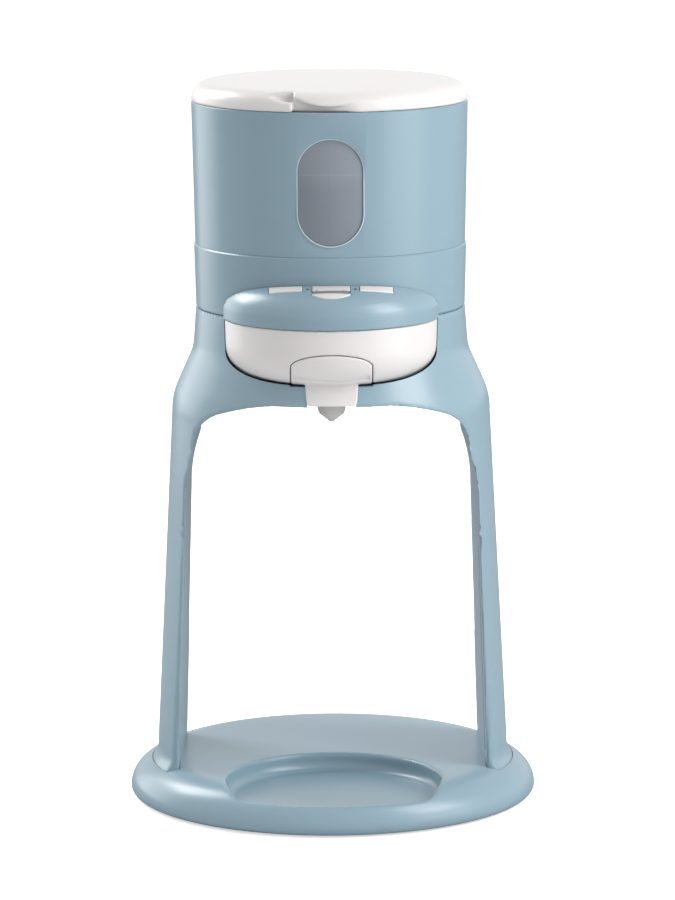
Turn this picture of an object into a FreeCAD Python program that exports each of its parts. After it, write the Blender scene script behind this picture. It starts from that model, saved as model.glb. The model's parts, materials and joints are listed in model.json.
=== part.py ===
"""Baby formula maker: a stand with a base, a head with buttons and a spout, and a lift-off tank.

The frame has its origin under the middle of the base, +Z up and the front facing -Y.
All sizes are in millimetres.
"""

import FreeCAD, Part
import math
import os

import Sketcher

DOC = FreeCAD.newDocument("formula_maker")
SHEET = DOC.addObject("Spreadsheet::Sheet", "sizes")
VECTOR = FreeCAD.Vector


class Size:
    """A size known both as a number and as the sheet expression that gives it."""

    def __init__(self, value, text):
        self.value = value
        self.text = text

    def __float__(self):
        return float(self.value)

    def __add__(self, other):
        return Size(self.value + float(other), f"({self.text} + {text_of(other)})")

    def __radd__(self, other):
        return Size(float(other) + self.value, f"({text_of(other)} + {self.text})")

    def __sub__(self, other):
        return Size(self.value - float(other), f"({self.text} - {text_of(other)})")

    def __rsub__(self, other):
        return Size(float(other) - self.value, f"({text_of(other)} - {self.text})")

    def __mul__(self, other):
        return Size(self.value * float(other), f"({self.text} * {text_of(other)})")

    __rmul__ = __mul__

    def __truediv__(self, other):
        return Size(self.value / float(other), f"({self.text} / {text_of(other)})")

    def __neg__(self):
        return Size(-self.value, f"(0 - {self.text})")


def text_of(size):
    """Return the expression of a size or of a plain number."""
    return size.text if isinstance(size, Size) else repr(float(size))


class Sizes:
    """The driving dimensions, one sheet row each, read back by their alias."""

    def __init__(self):
        self.rows = 0

    def write(self, alias, content, value):
        """Write one row and keep its size under the alias."""
        self.rows += 1
        SHEET.set(f"A{self.rows}", alias)
        SHEET.set(f"B{self.rows}", content)
        SHEET.setAlias(f"B{self.rows}", alias)
        setattr(self, alias, Size(value, f"sizes.{alias}"))

    def add(self, **values):
        """Add sizes that are set by themselves."""
        for alias, value in values.items():
            self.write(alias, str(value), float(value))

    def follow(self, **sizes):
        """Add sizes that follow from others by a formula."""
        for alias, size in sizes.items():
            self.write(alias, "=" + size.text.replace("sizes.", ""), size.value)


d = Sizes()

# Overall sizes, fits and gaps
d.add(
    stand_top=262.4,
    stand_top_radius=70.55,
    base_reach=36.95,
    base_top=21.5,
    tank_high=74.3,
    running_fit=0.08,
    slide_gap=0.3,
    seat_gap=0.2,
    seam_gap=0.3,
    wall=2.4,
)
d.follow(base_radius=d.stand_top_radius + d.base_reach)
# Stand
d.add(
    foot_pocket=17.0,
    leg_foot_level=30.0,
    leg_thick=11.9,
    stand_front=40.0,
    stand_back=47.0,
    stand_back_round=88.5,
    stand_floor=3.0,
    leg_cover_thick=2.0,
    leg_cover_front=23.0,
    leg_cover_back=40.0,
    leg_cover_low=26.0,
    leg_duct_wall=3.2,
)
d.follow(
    leg_foot_radius=d.base_radius - 14.7,
    flange_radius=d.base_radius - 11.5,
    portal_half_foot=d.base_radius - 14.7 - d.leg_thick,
    flare_start=d.stand_top - 19.4,
    flare_start_radius=d.stand_top_radius + 1.45,
    shoulder_level=d.stand_top - 53.4,
    shoulder_radius=d.stand_top_radius + 13.05,
    stand_back_level=d.stand_top - 132.4,
    stand_back_high=d.stand_top - 30.4,
    stand_back_out=d.stand_top_radius + 8.95,
    portal_top=d.stand_top - 42.8,
    portal_half_high=d.stand_top_radius + 6.05,
    cavity_radius=d.stand_top_radius - 4.55,
)
d.follow(
    portal_high_level=d.portal_top - 59.6,
    portal_corner_level=d.portal_top - 29.6,
    leg_cover_high=d.portal_top - 61.6,
)
# Nose: hood and bowl
d.add(
    hood_radius=56.0,
    nose_overlap=93.95,
    hood_shoulder=24.0,
    hood_rise=15.8,
    hood_tight=11.5,
    bowl_deep=30.0,
    bowl_round=13.0,
    bowl_gap=0.9,
)
d.follow(
    nose_forward=d.stand_top_radius + d.hood_radius - d.nose_overlap,
    hood_side_top=d.stand_top + 3.6,
    hood_low=d.stand_top - 1.7,
    bowl_radius=d.hood_radius - 0.8,
    bowl_top=d.stand_top - 1.7 - d.seam_gap,
)
d.follow(
    bowl_bottom=d.bowl_top - d.bowl_deep,
    spout_forward=d.stand_top_radius - 8.55,
)
# Base
d.add(
    base_under=1.0,
    base_widest=5.0,
    base_edge=21.5,
    base_edge_tight=13.0,
    base_rim_depth=9.0,
    base_roof=3.0,
    recess_radius=56.0,
    recess_floor=12.0,
    cover_thick=2.2,
    foot_height=1.6,
    foot_radius=9.0,
)
d.follow(
    base_rim_radius=d.base_radius - 5.5,
    base_core_radius=d.portal_half_foot - 3.9,
    recess_forward=d.spout_forward,
    recess_front=d.base_radius - 5.9,
    foot_place=d.base_radius - 19.5,
)
# Head
d.add(
    head_high=33.0,
    deck_thick=2.5,
    chassis_thick=2.4,
)
d.follow(
    head_top=d.stand_top + d.head_high,
    head_top_radius=d.stand_top_radius + 0.5,
    window_half=d.hood_radius - 10.0,
    window_high=d.stand_top + 12.6,
)
d.follow(
    deck_top=d.head_top - 4.9,
    head_bore=d.head_top_radius - 2.85,
    chassis_radius=d.head_top_radius - 2.85 - d.seat_gap,
)
# Buttons
d.add(
    button_proud=0.4,
    button_travel=0.9,
    button_inner=14.7,
    button_outer=31.8,
    start_half=9.6,
    warm_half=10.2,
    stem_radius=1.6,
    light_radius=0.9,
    light_side=12.15,
)
d.follow(
    button_back=d.head_top_radius + 1.55,
    button_front=d.head_top_radius + 6.55,
    start_front=d.head_top_radius + 8.45,
    warm_back=d.head_top_radius + 10.15,
    warm_front=d.head_top_radius + 13.55,
    light_forward=d.head_top_radius + 3.55,
)
# Spout
d.add(
    cap_half=21.0,
    cap_rise=6.4,
    cap_tight=4.6,
    boss_radius=13.0,
    boss_round=2.0,
    funnel_radius=8.0,
    tip_flange_radius=7.8,
    tip_radius=7.2,
    tip_body_radius=6.2,
    tip_end_radius=1.2,
    tip_bore=0.8,
)
d.follow(
    cap_spring=d.bowl_bottom + 10.8,
    cap_back=d.spout_forward - 21.0,
    boss_bottom=d.bowl_bottom - 10.0,
    funnel_floor=d.bowl_bottom - 5.7,
    tip_shoulder=d.bowl_bottom - 14.0,
    tip_cone_top=d.bowl_bottom - 16.5,
    tip_end=d.bowl_bottom - 20.6,
)
# Tank
d.add(
    vessel_wall=1.8,
    pane_half=17.3,
    pane_height=55.7,
    pane_thick=2.2,
    outlet_back=20.0,
    outlet_radius=11.0,
    seat_bore=4.5,
    gasket_thick=0.8,
    poppet_radius=6.4,
    poppet_thick=2.0,
    valve_stem_radius=1.6,
    cage_radius=9.4,
    spring_wire=0.45,
    spring_radius=3.3,
    spring_turns=6,
    flange_thick=1.5,
)
d.follow(
    tank_low=d.head_top + d.seat_gap,
    rim_level=d.head_top + d.seat_gap + d.tank_high,
    rim_radius=d.head_top_radius + 1.15,
    sleeve_bore=d.head_top_radius - 2.45,
    vessel_radius=d.head_top_radius - 3.25,
    vessel_floor_under=d.deck_top + 0.5,
    vessel_floor=d.deck_top + 2.5,
    outlet_low=d.deck_top - 7.5,
    seat_level=d.deck_top - 3.1,
    stem_low=d.deck_top - 9.3,
    cage_top=d.deck_top + 11.5,
)
d.follow(
    pane_low=d.tank_low + 5.3,
    pane_high=d.tank_low + 5.3 + d.pane_height,
    pane_inner=d.sleeve_bore - 0.1,
    pane_outer=d.sleeve_bore - 0.1 + d.pane_thick,
    flange_level=d.rim_level - 3.0,
    flange_reach=d.rim_radius - 1.8,
)
# Lid
d.add(
    lid_high=10.1,
    lid_edge=9.8,
    lid_tight=7.0,
    lid_plate=2.6,
    plug_depth=8.0,
    plug_wall=2.2,
    seal_groove=0.8,
    seal_high=1.6,
    grip_step=19.4,
    grip_reach=35.0,
    grip_depth=8.4,
)
d.follow(
    lid_under=d.rim_level + d.seat_gap,
    lid_edge_level=d.rim_level + d.seat_gap + 1.1,
    lid_top_edge=d.rim_level + d.seat_gap + d.lid_high,
    lid_crown=d.rim_level + d.seat_gap + d.lid_high + 0.6,
    plug_radius=d.vessel_radius - d.vessel_wall - 1.4,
    seal_radius=d.vessel_radius - d.vessel_wall - d.seam_gap,
)
d.follow(
    lid_land=d.plug_radius - 8.6,
    grip_back=d.plug_radius - 4.6,
)
# Machinery
d.add(
    socket_drain_side=5.0,
    seal_inner=8.0,
    pin_radius=1.5,
    heater_radius=18.0,
    heater_back=44.0,
    heater_high=34.0,
    pump_radius=12.0,
    pump_side=34.0,
    pump_back=34.0,
    power_board_side=50.0,
    pump_high=30.0,
    damper_thick=1.6,
    post_radius=4.2,
    screw_radius=1.5,
    screw_head=2.9,
    hose_radius=3.0,
    hose_bore=1.8,
    hose_turn=5.0,
    board_thick=1.6,
    gland_radius=5.0,
    gland_bore=3.2,
)
d.follow(
    socket_bore=d.outlet_radius + 0.5,
    socket_radius=d.outlet_radius + 3.0,
    socket_floor=d.deck_top - 10.9,
    nozzle_low=d.stand_top - 12.2,
    hose_level=d.stand_top + 10.6,
    hose_low_level=d.stand_top + 7.6,
    board_level=d.stand_top + 6.0,
    board_edge_radius=d.hood_radius - d.wall - 1.6,
    gland_level=d.stand_top + 13.6,
)
DOC.recompute()


def bind(thing, **sizes):
    """Bind properties of an object to sizes; a double underscore stands for a dot."""
    for name, size in sizes.items():
        path = name.replace("__", ".")
        if isinstance(size, Size):
            thing.setExpression(path, size.text)
        else:
            thing.setExpression(path, repr(float(size)))
    return thing


def place(thing, x=0.0, y=0.0, z=0.0):
    """Bind where an object stands."""
    bind(thing, Placement__Base__x=x, Placement__Base__y=y, Placement__Base__z=z)
    return thing


def cylinder(name, radius, low, high, x=0.0, y=0.0):
    """An upright cylinder between two levels."""
    thing = DOC.addObject("Part::Cylinder", name)
    bind(thing, Radius=radius, Height=high - low)
    return place(thing, x, y, low)


def rod_along_y(name, radius, front, back, x, z):
    """A cylinder that lies along Y from front to back."""
    thing = DOC.addObject("Part::Cylinder", name)
    bind(thing, Radius=radius, Height=back - front)
    thing.Placement = FreeCAD.Placement(VECTOR(), FreeCAD.Rotation(VECTOR(1, 0, 0), -90))
    return place(thing, x, front, z)


def cone(name, low_radius, high_radius, low, high, x=0.0, y=0.0):
    """An upright cone between two levels."""
    thing = DOC.addObject("Part::Cone", name)
    bind(thing, Radius1=low_radius, Radius2=high_radius, Height=high - low)
    return place(thing, x, y, low)


def block(name, x0, x1, y0, y1, z0, z1):
    """A box between two corners."""
    thing = DOC.addObject("Part::Box", name)
    bind(thing, Length=x1 - x0, Width=y1 - y0, Height=z1 - z0)
    return place(thing, x0, y0, z0)


def cut(name, base, *tools):
    """Take the tools away from the base."""
    tool = tools[0] if len(tools) == 1 else fuse(name + "_tools", *tools)
    thing = DOC.addObject("Part::Cut", name)
    thing.Base = base
    thing.Tool = tool
    return thing


def fuse(name, *shapes):
    """Join shapes into one solid."""
    thing = DOC.addObject("Part::MultiFuse", name)
    thing.Shapes = list(shapes)
    return thing


def common(name, first, second):
    """Keep what two shapes share."""
    thing = DOC.addObject("Part::Common", name)
    thing.Base = first
    thing.Tool = second
    return thing


def group(name, shapes):
    """Keep several separate solids as one object."""
    thing = DOC.addObject("Part::Compound", name)
    thing.Links = list(shapes)
    return thing


def part(thing, label):
    """Mark an object as a finished sub-part."""
    thing.Label = label
    FINISHED.append(thing)
    return thing


FINISHED = []


def ring(name, outer, inner, low, high, x=0.0, y=0.0):
    """An upright ring between two levels."""
    body = cylinder(name + "_body", outer, low, high, x, y)
    bore = cylinder(name + "_bore", inner, low - 1.0, high + 1.0, x, y)
    return cut(name, body, bore)


def outline(sketch, path):
    """Draw a closed outline; each point is (x, y) or (x, y, radius) with an arc that arrives there.

    A positive radius turns left on the way to the point, a negative one right.
    """
    edges = []
    count = len(path)
    for index in range(count):
        start = [float(v) for v in path[index][:2]]
        end = [float(v) for v in path[(index + 1) % count][:2]]
        bend = path[(index + 1) % count][2] if len(path[(index + 1) % count]) > 2 else None
        if bend is None:
            edge = Part.LineSegment(VECTOR(start[0], start[1], 0), VECTOR(end[0], end[1], 0))
        else:
            edge = arc_between(start, end, float(bend))
        edges.append(sketch.addGeometry(edge, False))
    for index in range(count):
        tie_point(sketch, edges, path, index)
    return sketch


def arc_between(start, end, bend):
    """Return the short arc from start to end with the signed radius bend."""
    middle = [(start[0] + end[0]) / 2, (start[1] + end[1]) / 2]
    chord = math.hypot(end[0] - start[0], end[1] - start[1])
    sagitta = abs(bend) - math.sqrt(bend * bend - chord * chord / 4)
    side = 1.0 if bend > 0 else -1.0
    normal = [(end[1] - start[1]) / chord * side, -(end[0] - start[0]) / chord * side]
    bulge = VECTOR(middle[0] + normal[0] * sagitta, middle[1] + normal[1] * sagitta, 0)
    return Part.Arc(VECTOR(start[0], start[1], 0), bulge, VECTOR(end[0], end[1], 0))


def ends_of(bend):
    """Return which ends of an edge are its start and its end for one turning direction."""
    return (2, 1) if bend is not None and float(bend) < 0 else (1, 2)


def tie_point(sketch, edges, path, index):
    """Join an outline's edges at a point and hold the point at its sizes."""
    count = len(path)
    here = edges[index]
    before = edges[index - 1]
    bend_here = path[(index + 1) % count][2] if len(path[(index + 1) % count]) > 2 else None
    bend_before = path[index][2] if len(path[index]) > 2 else None
    first = ends_of(bend_here)[0]
    last = ends_of(bend_before)[1]
    sketch.addConstraint(Sketcher.Constraint("Coincident", before, last, here, first))
    for kind, axis, value in (("DistanceX", -2, path[index][0]), ("DistanceY", -1, path[index][1])):
        if not isinstance(value, Size) and value == 0:
            sketch.addConstraint(Sketcher.Constraint("PointOnObject", here, first, axis))
            continue
        number = sketch.addConstraint(Sketcher.Constraint(kind, -1, 1, here, first, float(value)))
        if isinstance(value, Size):
            sketch.setExpression(f"Constraints[{number}]", value.text)
    if bend_before is not None:
        size = bend_before if float(bend_before) > 0 else -bend_before
        number = sketch.addConstraint(Sketcher.Constraint("Radius", before, float(size)))
        if isinstance(size, Size):
            sketch.setExpression(f"Constraints[{number}]", size.text)


def sketch_in(body, name, role, path):
    """Attach a sketch to one of the body's own origin planes and draw an outline in it."""
    sketch = body.newObject("Sketcher::SketchObject", name)
    plane = next(item for item in body.Origin.OriginFeatures if item.Role == role)
    sketch.AttachmentSupport = (plane, [""])
    sketch.MapMode = "FlatFace"
    return outline(sketch, path)


def new_body(name):
    """Start an empty body."""
    return DOC.addObject("PartDesign::Body", name)


def turned(name, path, forward=None):
    """A body turned about a vertical axis; the axis may stand forward of the origin."""
    body = new_body(name)
    sketch = sketch_in(body, name + "_profile", "XZ_Plane", path)
    feature = body.newObject("PartDesign::Revolution", name + "_turn")
    feature.Profile = sketch
    feature.ReferenceAxis = (sketch, ["V_Axis"])
    feature.Angle = 360
    if forward is not None:
        place(body, 0.0, -forward, 0.0)
    return body


def extruded(name, role, path, length, forward=None):
    """A body extruded both ways from one of the origin planes."""
    body = new_body(name)
    sketch = sketch_in(body, name + "_profile", role, path)
    feature = body.newObject("PartDesign::Pad", name + "_pad")
    feature.Profile = sketch
    feature.SideType = "Symmetric"
    bind(feature, Length=length)
    if forward is not None:
        place(body, 0.0, -forward, 0.0)
    return body


def shoulder(radius, low, across, rise, tight):
    """Points of an oval corner from a side (radius, low) inwards by across and up by rise.

    Two arcs that share a tangent stand for the oval: a tight one below, a wide one above.
    """
    wide = ((across - tight) * (across - tight) + rise * rise - tight * tight) / ((rise - tight) * 2)
    reach = wide - tight
    join_x = radius - across + wide * ((across - tight) / reach)
    join_y = low + rise - wide + wide * ((wide - rise) / reach)
    return [(radius, low), (join_x, join_y, tight), (radius - across, low + rise, wide)]


# Base
def base_outer(name):
    """The full outer form of the base."""
    corner = shoulder(d.base_radius, d.base_widest, d.base_edge, d.base_top - d.base_widest, d.base_edge_tight)
    turn_in = d.base_widest - d.base_under
    path = [(0, d.base_under), (d.base_radius - turn_in, d.base_under)]
    path.append((d.base_radius, d.base_widest, turn_in))
    path += corner[1:]
    path.append((0, d.base_top))
    return turned(name, path)


def foot_plan(name, gap):
    """The footprint of both leg feet, grown all round by a gap."""
    reach = d.flange_radius + gap
    disc = cylinder(name + "_disc", reach, d.foot_pocket, d.base_top + 20.0)
    front = -d.stand_front - gap
    back = d.stand_back + gap
    inner = d.portal_half_foot - gap
    right = block(name + "_right", inner, d.base_radius, front, back, d.foot_pocket, d.base_top + 20.0)
    left = block(name + "_left", -d.base_radius, -inner, front, back, d.foot_pocket, d.base_top + 20.0)
    return common(name, disc, fuse(name + "_blocks", right, left))


def leg_screw_places():
    """Where the legs are screwed to the base."""
    middle = (d.portal_half_foot + d.leg_foot_radius) / 2
    return [(side * middle, y) for side in (-1.0, 1.0) for y in (-d.stand_front / 2, d.stand_back * 0.62)]


def cover_screw_places():
    """Where the bottom cover is screwed to the base."""
    near = d.recess_radius + 12.0
    back = d.base_core_radius * 0.6
    return [(-near, -d.recess_forward * 0.8), (near, -d.recess_forward * 0.8), (-back, back), (back, back)]


def build_base():
    """Base shell, bottom cover, feet and screws."""
    outer = base_outer("base_form")
    rim = cylinder("base_rim_hollow", d.base_rim_radius, d.base_under - 1.0, d.base_rim_depth)
    core = cylinder("base_core_hollow", d.base_core_radius, d.base_rim_depth - 1.0, d.base_top - d.base_roof)
    kept = d.recess_radius + d.wall
    tub = cylinder("recess_tub", kept, d.base_rim_depth - 2.0, d.base_top, 0.0, -d.recess_forward)
    core_left = cut("base_core_left", core, tub)
    over = cylinder("recess_over", d.recess_front, d.recess_floor, d.base_top + 5.0)
    well = cylinder("recess_well", d.recess_radius, d.base_widest, d.base_top + 5.0, 0.0, -d.recess_forward)
    recess = common("recess_tool", over, well)
    pockets = foot_plan("foot_pockets", d.seat_gap)
    holes = []
    for number, (x, y) in enumerate(leg_screw_places()):
        radius = d.screw_radius + d.running_fit
        holes.append(cylinder(f"leg_hole_{number}", radius, d.base_under, d.base_top, x, y))
    hollow = cut("base_hollowed", outer, rim, core_left, recess, pockets, *holes)
    posts = []
    pilots = []
    for number, (x, y) in enumerate(cover_screw_places()):
        low = d.foot_height + d.cover_thick
        roof = d.base_top - d.base_roof + 0.2
        posts.append(cylinder(f"cover_post_{number}", d.post_radius, low, roof, x, y))
        radius = d.screw_radius + d.running_fit
        pilots.append(cylinder(f"cover_pilot_{number}", radius, low - 1.0, d.base_rim_depth, x, y))
    part(cut("base_shell", fuse("base_posted", hollow, *posts), *pilots), "base_shell")

    low = d.foot_height
    high = low + d.cover_thick
    disc = cylinder("cover_disc", d.base_rim_radius - d.slide_gap, low, high)
    sinks = []
    screws = []
    for number, (x, y) in enumerate(cover_screw_places()):
        step = low + d.cover_thick / 2
        sinks.append(cylinder(f"cover_sink_{number}", d.screw_head + d.slide_gap, low - 1.0, step, x, y))
        sinks.append(cylinder(f"cover_through_{number}", d.screw_radius + d.running_fit, low, high + 1.0, x, y))
        head = cylinder(f"cover_screw_head_{number}", d.screw_head, low + 0.1, step, x, y)
        shank = cylinder(f"cover_screw_shank_{number}", d.screw_radius, step - 0.2, d.base_rim_depth - 0.5, x, y)
        screws.append(fuse(f"cover_screw_{number}", head, shank))
    part(cut("base_bottom_cover", disc, *sinks), "base_bottom_cover")
    part(group("base_cover_screws", screws), "base_cover_screws")

    feet = []
    for number in range(6):
        turn = math.radians(30.0 + 60.0 * number)
        x = d.foot_place * math.cos(turn)
        y = d.foot_place * math.sin(turn)
        feet.append(cylinder(f"foot_{number}", d.foot_radius, 0.0, d.foot_height, x, y))
    part(group("rubber_feet", feet), "rubber_feet")

    screws = []
    for number, (x, y) in enumerate(leg_screw_places()):
        low = d.base_rim_depth - 2.4
        head = cylinder(f"leg_screw_head_{number}", d.screw_head, low, d.base_rim_depth, x, y)
        shank = cylinder(f"leg_screw_shank_{number}", d.screw_radius, low + 1.0, d.foot_pocket + 12.0, x, y)
        screws.append(fuse(f"leg_screw_{number}", head, shank))
    part(group("leg_screws", screws), "leg_screws")


# Stand
def stand_path(inset):
    """Outer profile of the stand, drawn in by an inset."""
    fall = (d.leg_foot_radius - d.shoulder_radius) / (d.shoulder_level - d.leg_foot_level)
    low = d.shoulder_level - 3.0
    path = [(0, d.foot_pocket), (d.flange_radius - inset, d.foot_pocket)]
    path.append((d.flange_radius - inset, d.base_top - 2.0))
    path.append((d.leg_foot_radius - inset, d.leg_foot_level, -14.0))
    path.append((d.shoulder_radius - inset + fall * 3.0, low))
    path.append((d.shoulder_radius - inset - 3.0, d.shoulder_level + 12.5, 36.0))
    path.append((d.flare_start_radius - inset + 2.3, d.flare_start - 7.5))
    path.append((d.flare_start_radius - inset, d.flare_start, -24.0))
    path.append((d.stand_top_radius - inset, d.stand_top))
    path.append((0, d.stand_top))
    return path


def portal_path(grow):
    """Front outline of the portal between the legs, grown outwards."""
    low = d.foot_pocket - 5.0
    slope = (d.portal_half_foot - d.portal_half_high) / (d.portal_high_level - d.base_top)
    foot = d.portal_half_foot + grow + slope * (d.base_top - low)
    high = d.portal_half_high + grow
    corner = d.portal_half_high - 5.2 + grow
    right = [(foot, low), (high, d.portal_high_level)]
    right.append((corner, d.portal_corner_level, 80.0))
    right.append((corner - 15.4, d.portal_top - 5.9 + grow, 22.0))
    right.append((corner - 41.4, d.portal_top + grow, 92.0))
    left = [(-right[4][0], right[4][1])]
    left.append((-right[3][0], right[3][1], 92.0))
    left.append((-right[2][0], right[2][1], 22.0))
    left.append((-right[1][0], right[1][1], 80.0))
    left.append((-right[0][0], right[0][1]))
    return right + left


def side_path():
    """Side outline that the stand keeps: front of the legs, back of the legs and back of the head ring."""
    top = d.stand_top + 1.0
    front = -d.stand_top_radius - 17.5
    middle = (d.stand_back + d.stand_back_out) / 2
    return [
        (-d.stand_front, d.foot_pocket - 1.0),
        (d.stand_back, d.foot_pocket - 1.0),
        (d.stand_back, d.stand_back_level),
        (middle, (d.stand_back_level + d.stand_back_high) / 2, -d.stand_back_round),
        (d.stand_back_out, d.stand_back_high, d.stand_back_round),
        (d.stand_back_out, top),
        (front, top),
        (front, d.portal_top - 3.6),
        (-d.stand_front - 20.0, d.portal_top - 13.6),
        (-d.stand_front, d.portal_high_level),
    ]


def post_places():
    """Where the chassis is screwed to the stand."""
    side = d.cavity_radius - d.post_radius - 0.8
    return [(-side, 10.6), (side, 10.6), (-side * 0.42, side * 0.9), (side * 0.42, side * 0.9)]


def build_stand():
    """Stand shell with legs and arch, and the covers on the inside of the legs."""
    form = turned("stand_form", stand_path(0.0))
    width = d.base_radius * 2.0 + 20.0
    side = extruded("stand_side", "YZ_Plane", side_path(), width)
    kept = common("stand_kept", form, side)
    portal = extruded("portal_tool", "XZ_Plane", portal_path(0.0), width)
    cavity_low = d.portal_top + d.stand_floor
    cavity = cylinder("stand_cavity", d.cavity_radius, cavity_low, d.stand_top + 1.0)
    bowl_room = bowl_form("bowl_room", d.bowl_gap, d.stand_top + 1.0)
    half = d.bowl_radius + d.bowl_gap
    slot = block("bowl_slot", -half, half, -d.base_radius, -d.nose_forward, d.bowl_bottom + d.bowl_round,
                 d.stand_top + 1.0)
    half = d.boss_radius + 0.6
    boss_way = block("boss_way", -half, half, -d.base_radius, -d.spout_forward + d.boss_radius + 1.0,
                     d.portal_top - 1.0, d.bowl_bottom + 1.0)
    half = d.cap_half + 0.6
    cap_way = block("cap_way", -half, half, -d.base_radius, 0.6 - d.cap_back, d.bowl_bottom - 0.85,
                    d.bowl_bottom + 2.0)
    room = d.slide_gap
    grown = extruded("portal_wide", "XZ_Plane", portal_path(d.leg_cover_thick), width)
    band = cut("portal_band", grown, portal)
    seats = []
    covers = []
    for name, low_x, high_x in (("left", -d.base_radius, -30.0), ("right", 30.0, d.base_radius)):
        cover_box = block(f"{name}_cover_box", low_x, high_x, -d.leg_cover_front, d.leg_cover_back,
                          d.leg_cover_low, d.leg_cover_high)
        seat_box = block(f"{name}_seat_box", low_x, high_x, -d.leg_cover_front - room, d.leg_cover_back + room,
                         d.leg_cover_low - room, d.leg_cover_high + room)
        covers.append((name, common(f"leg_cover_{name}", cover_box, band)))
        seats.append(common(f"leg_seat_{name}", seat_box, band))
    duct_form = turned("duct_form", stand_path(d.leg_duct_wall))
    duct_zone = block("duct_zone", -d.base_radius, d.base_radius, -d.leg_cover_front + 3.0,
                      d.leg_cover_back - 3.0, d.leg_cover_low + 6.0, d.leg_cover_high - 6.0)
    duct = cut("leg_duct", common("duct_all", duct_form, duct_zone), portal)
    pilots = []
    for number, (x, y) in enumerate(leg_screw_places()):
        radius = d.screw_radius + d.running_fit
        pilots.append(cylinder(f"leg_pilot_{number}", radius, d.foot_pocket - 1.0, d.foot_pocket + 12.5, x, y))
    ways = [cavity, bowl_room, slot, boss_way, cap_way]
    body = cut("stand_body", kept, portal, duct, *ways, *seats, *pilots)
    posts = []
    bores = []
    for number, (x, y) in enumerate(post_places()):
        posts.append(cylinder(f"stand_post_{number}", d.post_radius, cavity_low - 0.5, d.stand_top, x, y))
        radius = d.screw_radius + d.running_fit
        bores.append(cylinder(f"stand_bore_{number}", radius, d.stand_top - 13.0, d.stand_top + 1.0, x, y))
    part(cut("stand_shell", fuse("stand_posted", body, *posts), *bores), "stand_shell")
    for name, cover in covers:
        part(cover, f"leg_cover_{name}")


# Nose
def bowl_form(name, grow, top):
    """The bowl of the nose as a solid up to a level, grown by a gap."""
    radius = d.bowl_radius + grow
    low = d.bowl_bottom - grow
    corner = d.bowl_round
    path = [(0, low), (radius - corner, low), (radius, low + corner, corner)]
    path += [(radius, top), (0, top)]
    return turned(name, path, d.nose_forward)


def hood_form(name, inset, low, proud=0.0):
    """The dome of the nose as a solid, drawn in by an inset or raised."""
    radius = d.hood_radius - inset
    corner = shoulder(radius, d.hood_side_top + proud, d.hood_shoulder - inset * 0.5,
                      d.hood_rise - inset, d.hood_tight - inset)
    path = [(0, low), (radius, low)] + corner
    path.append((0, corner[-1][1]))
    return turned(name, path, d.nose_forward)


def cap_arch(name, grow, low, back):
    """The arched prism that the spout cap and its opening share."""
    half = d.cap_half + grow
    corner = shoulder(half, d.cap_spring, half, d.cap_rise + grow, d.cap_tight)
    path = [(-half, low), (half, low)] + corner
    join = corner[1]
    path.append((-join[0], join[1], corner[2][2]))
    path.append((-half, d.cap_spring, d.cap_tight))
    body = extruded(name, "XZ_Plane", path, d.base_radius * 4.0)
    room = block(name + "_room", -d.base_radius, d.base_radius, -d.base_radius, -back, low - 1.0, d.hood_low)
    return common(name + "_kept", body, room)


def build_bowl():
    """White bowl under the hood, open where the spout cap slides in."""
    outer = bowl_form("bowl_outer", 0.0, d.bowl_top)
    radius = d.bowl_radius - d.wall
    low = d.bowl_bottom + d.wall
    corner = d.bowl_round - d.wall
    path = [(0, low), (radius - corner, low), (radius, low + corner, corner), (radius, d.bowl_top + 5.0)]
    path.append((0, d.bowl_top + 5.0))
    inner = turned("bowl_inner", path, d.nose_forward)
    opening = cap_arch("bowl_opening", d.seam_gap + 0.3, d.bowl_bottom - 2.0, d.cap_back - 0.6)
    shell = cut("bowl_shell", outer, inner, opening)
    lip_low = d.bowl_top - 6.0
    lip = ring("bowl_lip", radius + 0.1, radius - 1.8, lip_low, d.stand_top, 0.0, -d.nose_forward)
    part(fuse("nose_cover", shell, lip), "nose_cover")


def button_plans(grow, low):
    """Plan prisms of the four buttons above a level, each grown all round by a gap."""
    high = d.hood_side_top + 30.0
    plans = {}
    for name, side in (("button_less", -1.0), ("button_more", 1.0)):
        near = d.button_inner - grow
        far = d.button_outer + grow
        x0, x1 = (near, far) if side > 0 else (-far, -near)
        tag = f"{name}_{'slot' if float(grow) > 0 else 'plan'}"
        strip = block(tag + "_strip", x0, x1, -d.base_radius, 0.0, low, high)
        band = ring(tag + "_band", d.button_front + grow, d.button_back - grow, low, high)
        plans[name] = common(tag, strip, band)
    tag = f"button_start_{'slot' if float(grow) > 0 else 'plan'}"
    strip = block(tag + "_strip", -d.start_half - grow, d.start_half + grow, -d.base_radius,
                  0.0, low, high)
    band = ring(tag + "_band", d.start_front + grow, d.button_back - grow, low, high)
    plans["button_start"] = common(tag, strip, band)
    tag = f"button_warm_{'slot' if float(grow) > 0 else 'plan'}"
    rise = d.warm_front - d.warm_back
    radius = (d.warm_half * d.warm_half + rise * rise) / (rise * 2.0)
    disc = cylinder(tag + "_disc", radius + grow, low, high, 0.0, -(d.warm_front - radius))
    strip = block(tag + "_strip", -d.base_radius, d.base_radius, -d.base_radius, -d.warm_back + grow, low, high)
    plans["button_warm"] = common(tag, strip, disc)
    return plans


def switch_places():
    """Where each button presses its switch."""
    outer = (d.button_inner + d.button_outer) / 2
    strip = (d.button_back + d.button_front) / 2
    return {
        "button_less": (-outer, -strip * 0.955),
        "button_start": (0.0, -strip),
        "button_warm": (0.0, -(d.warm_back + d.warm_front) / 2),
        "button_more": (outer, -strip * 0.955),
    }


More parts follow.
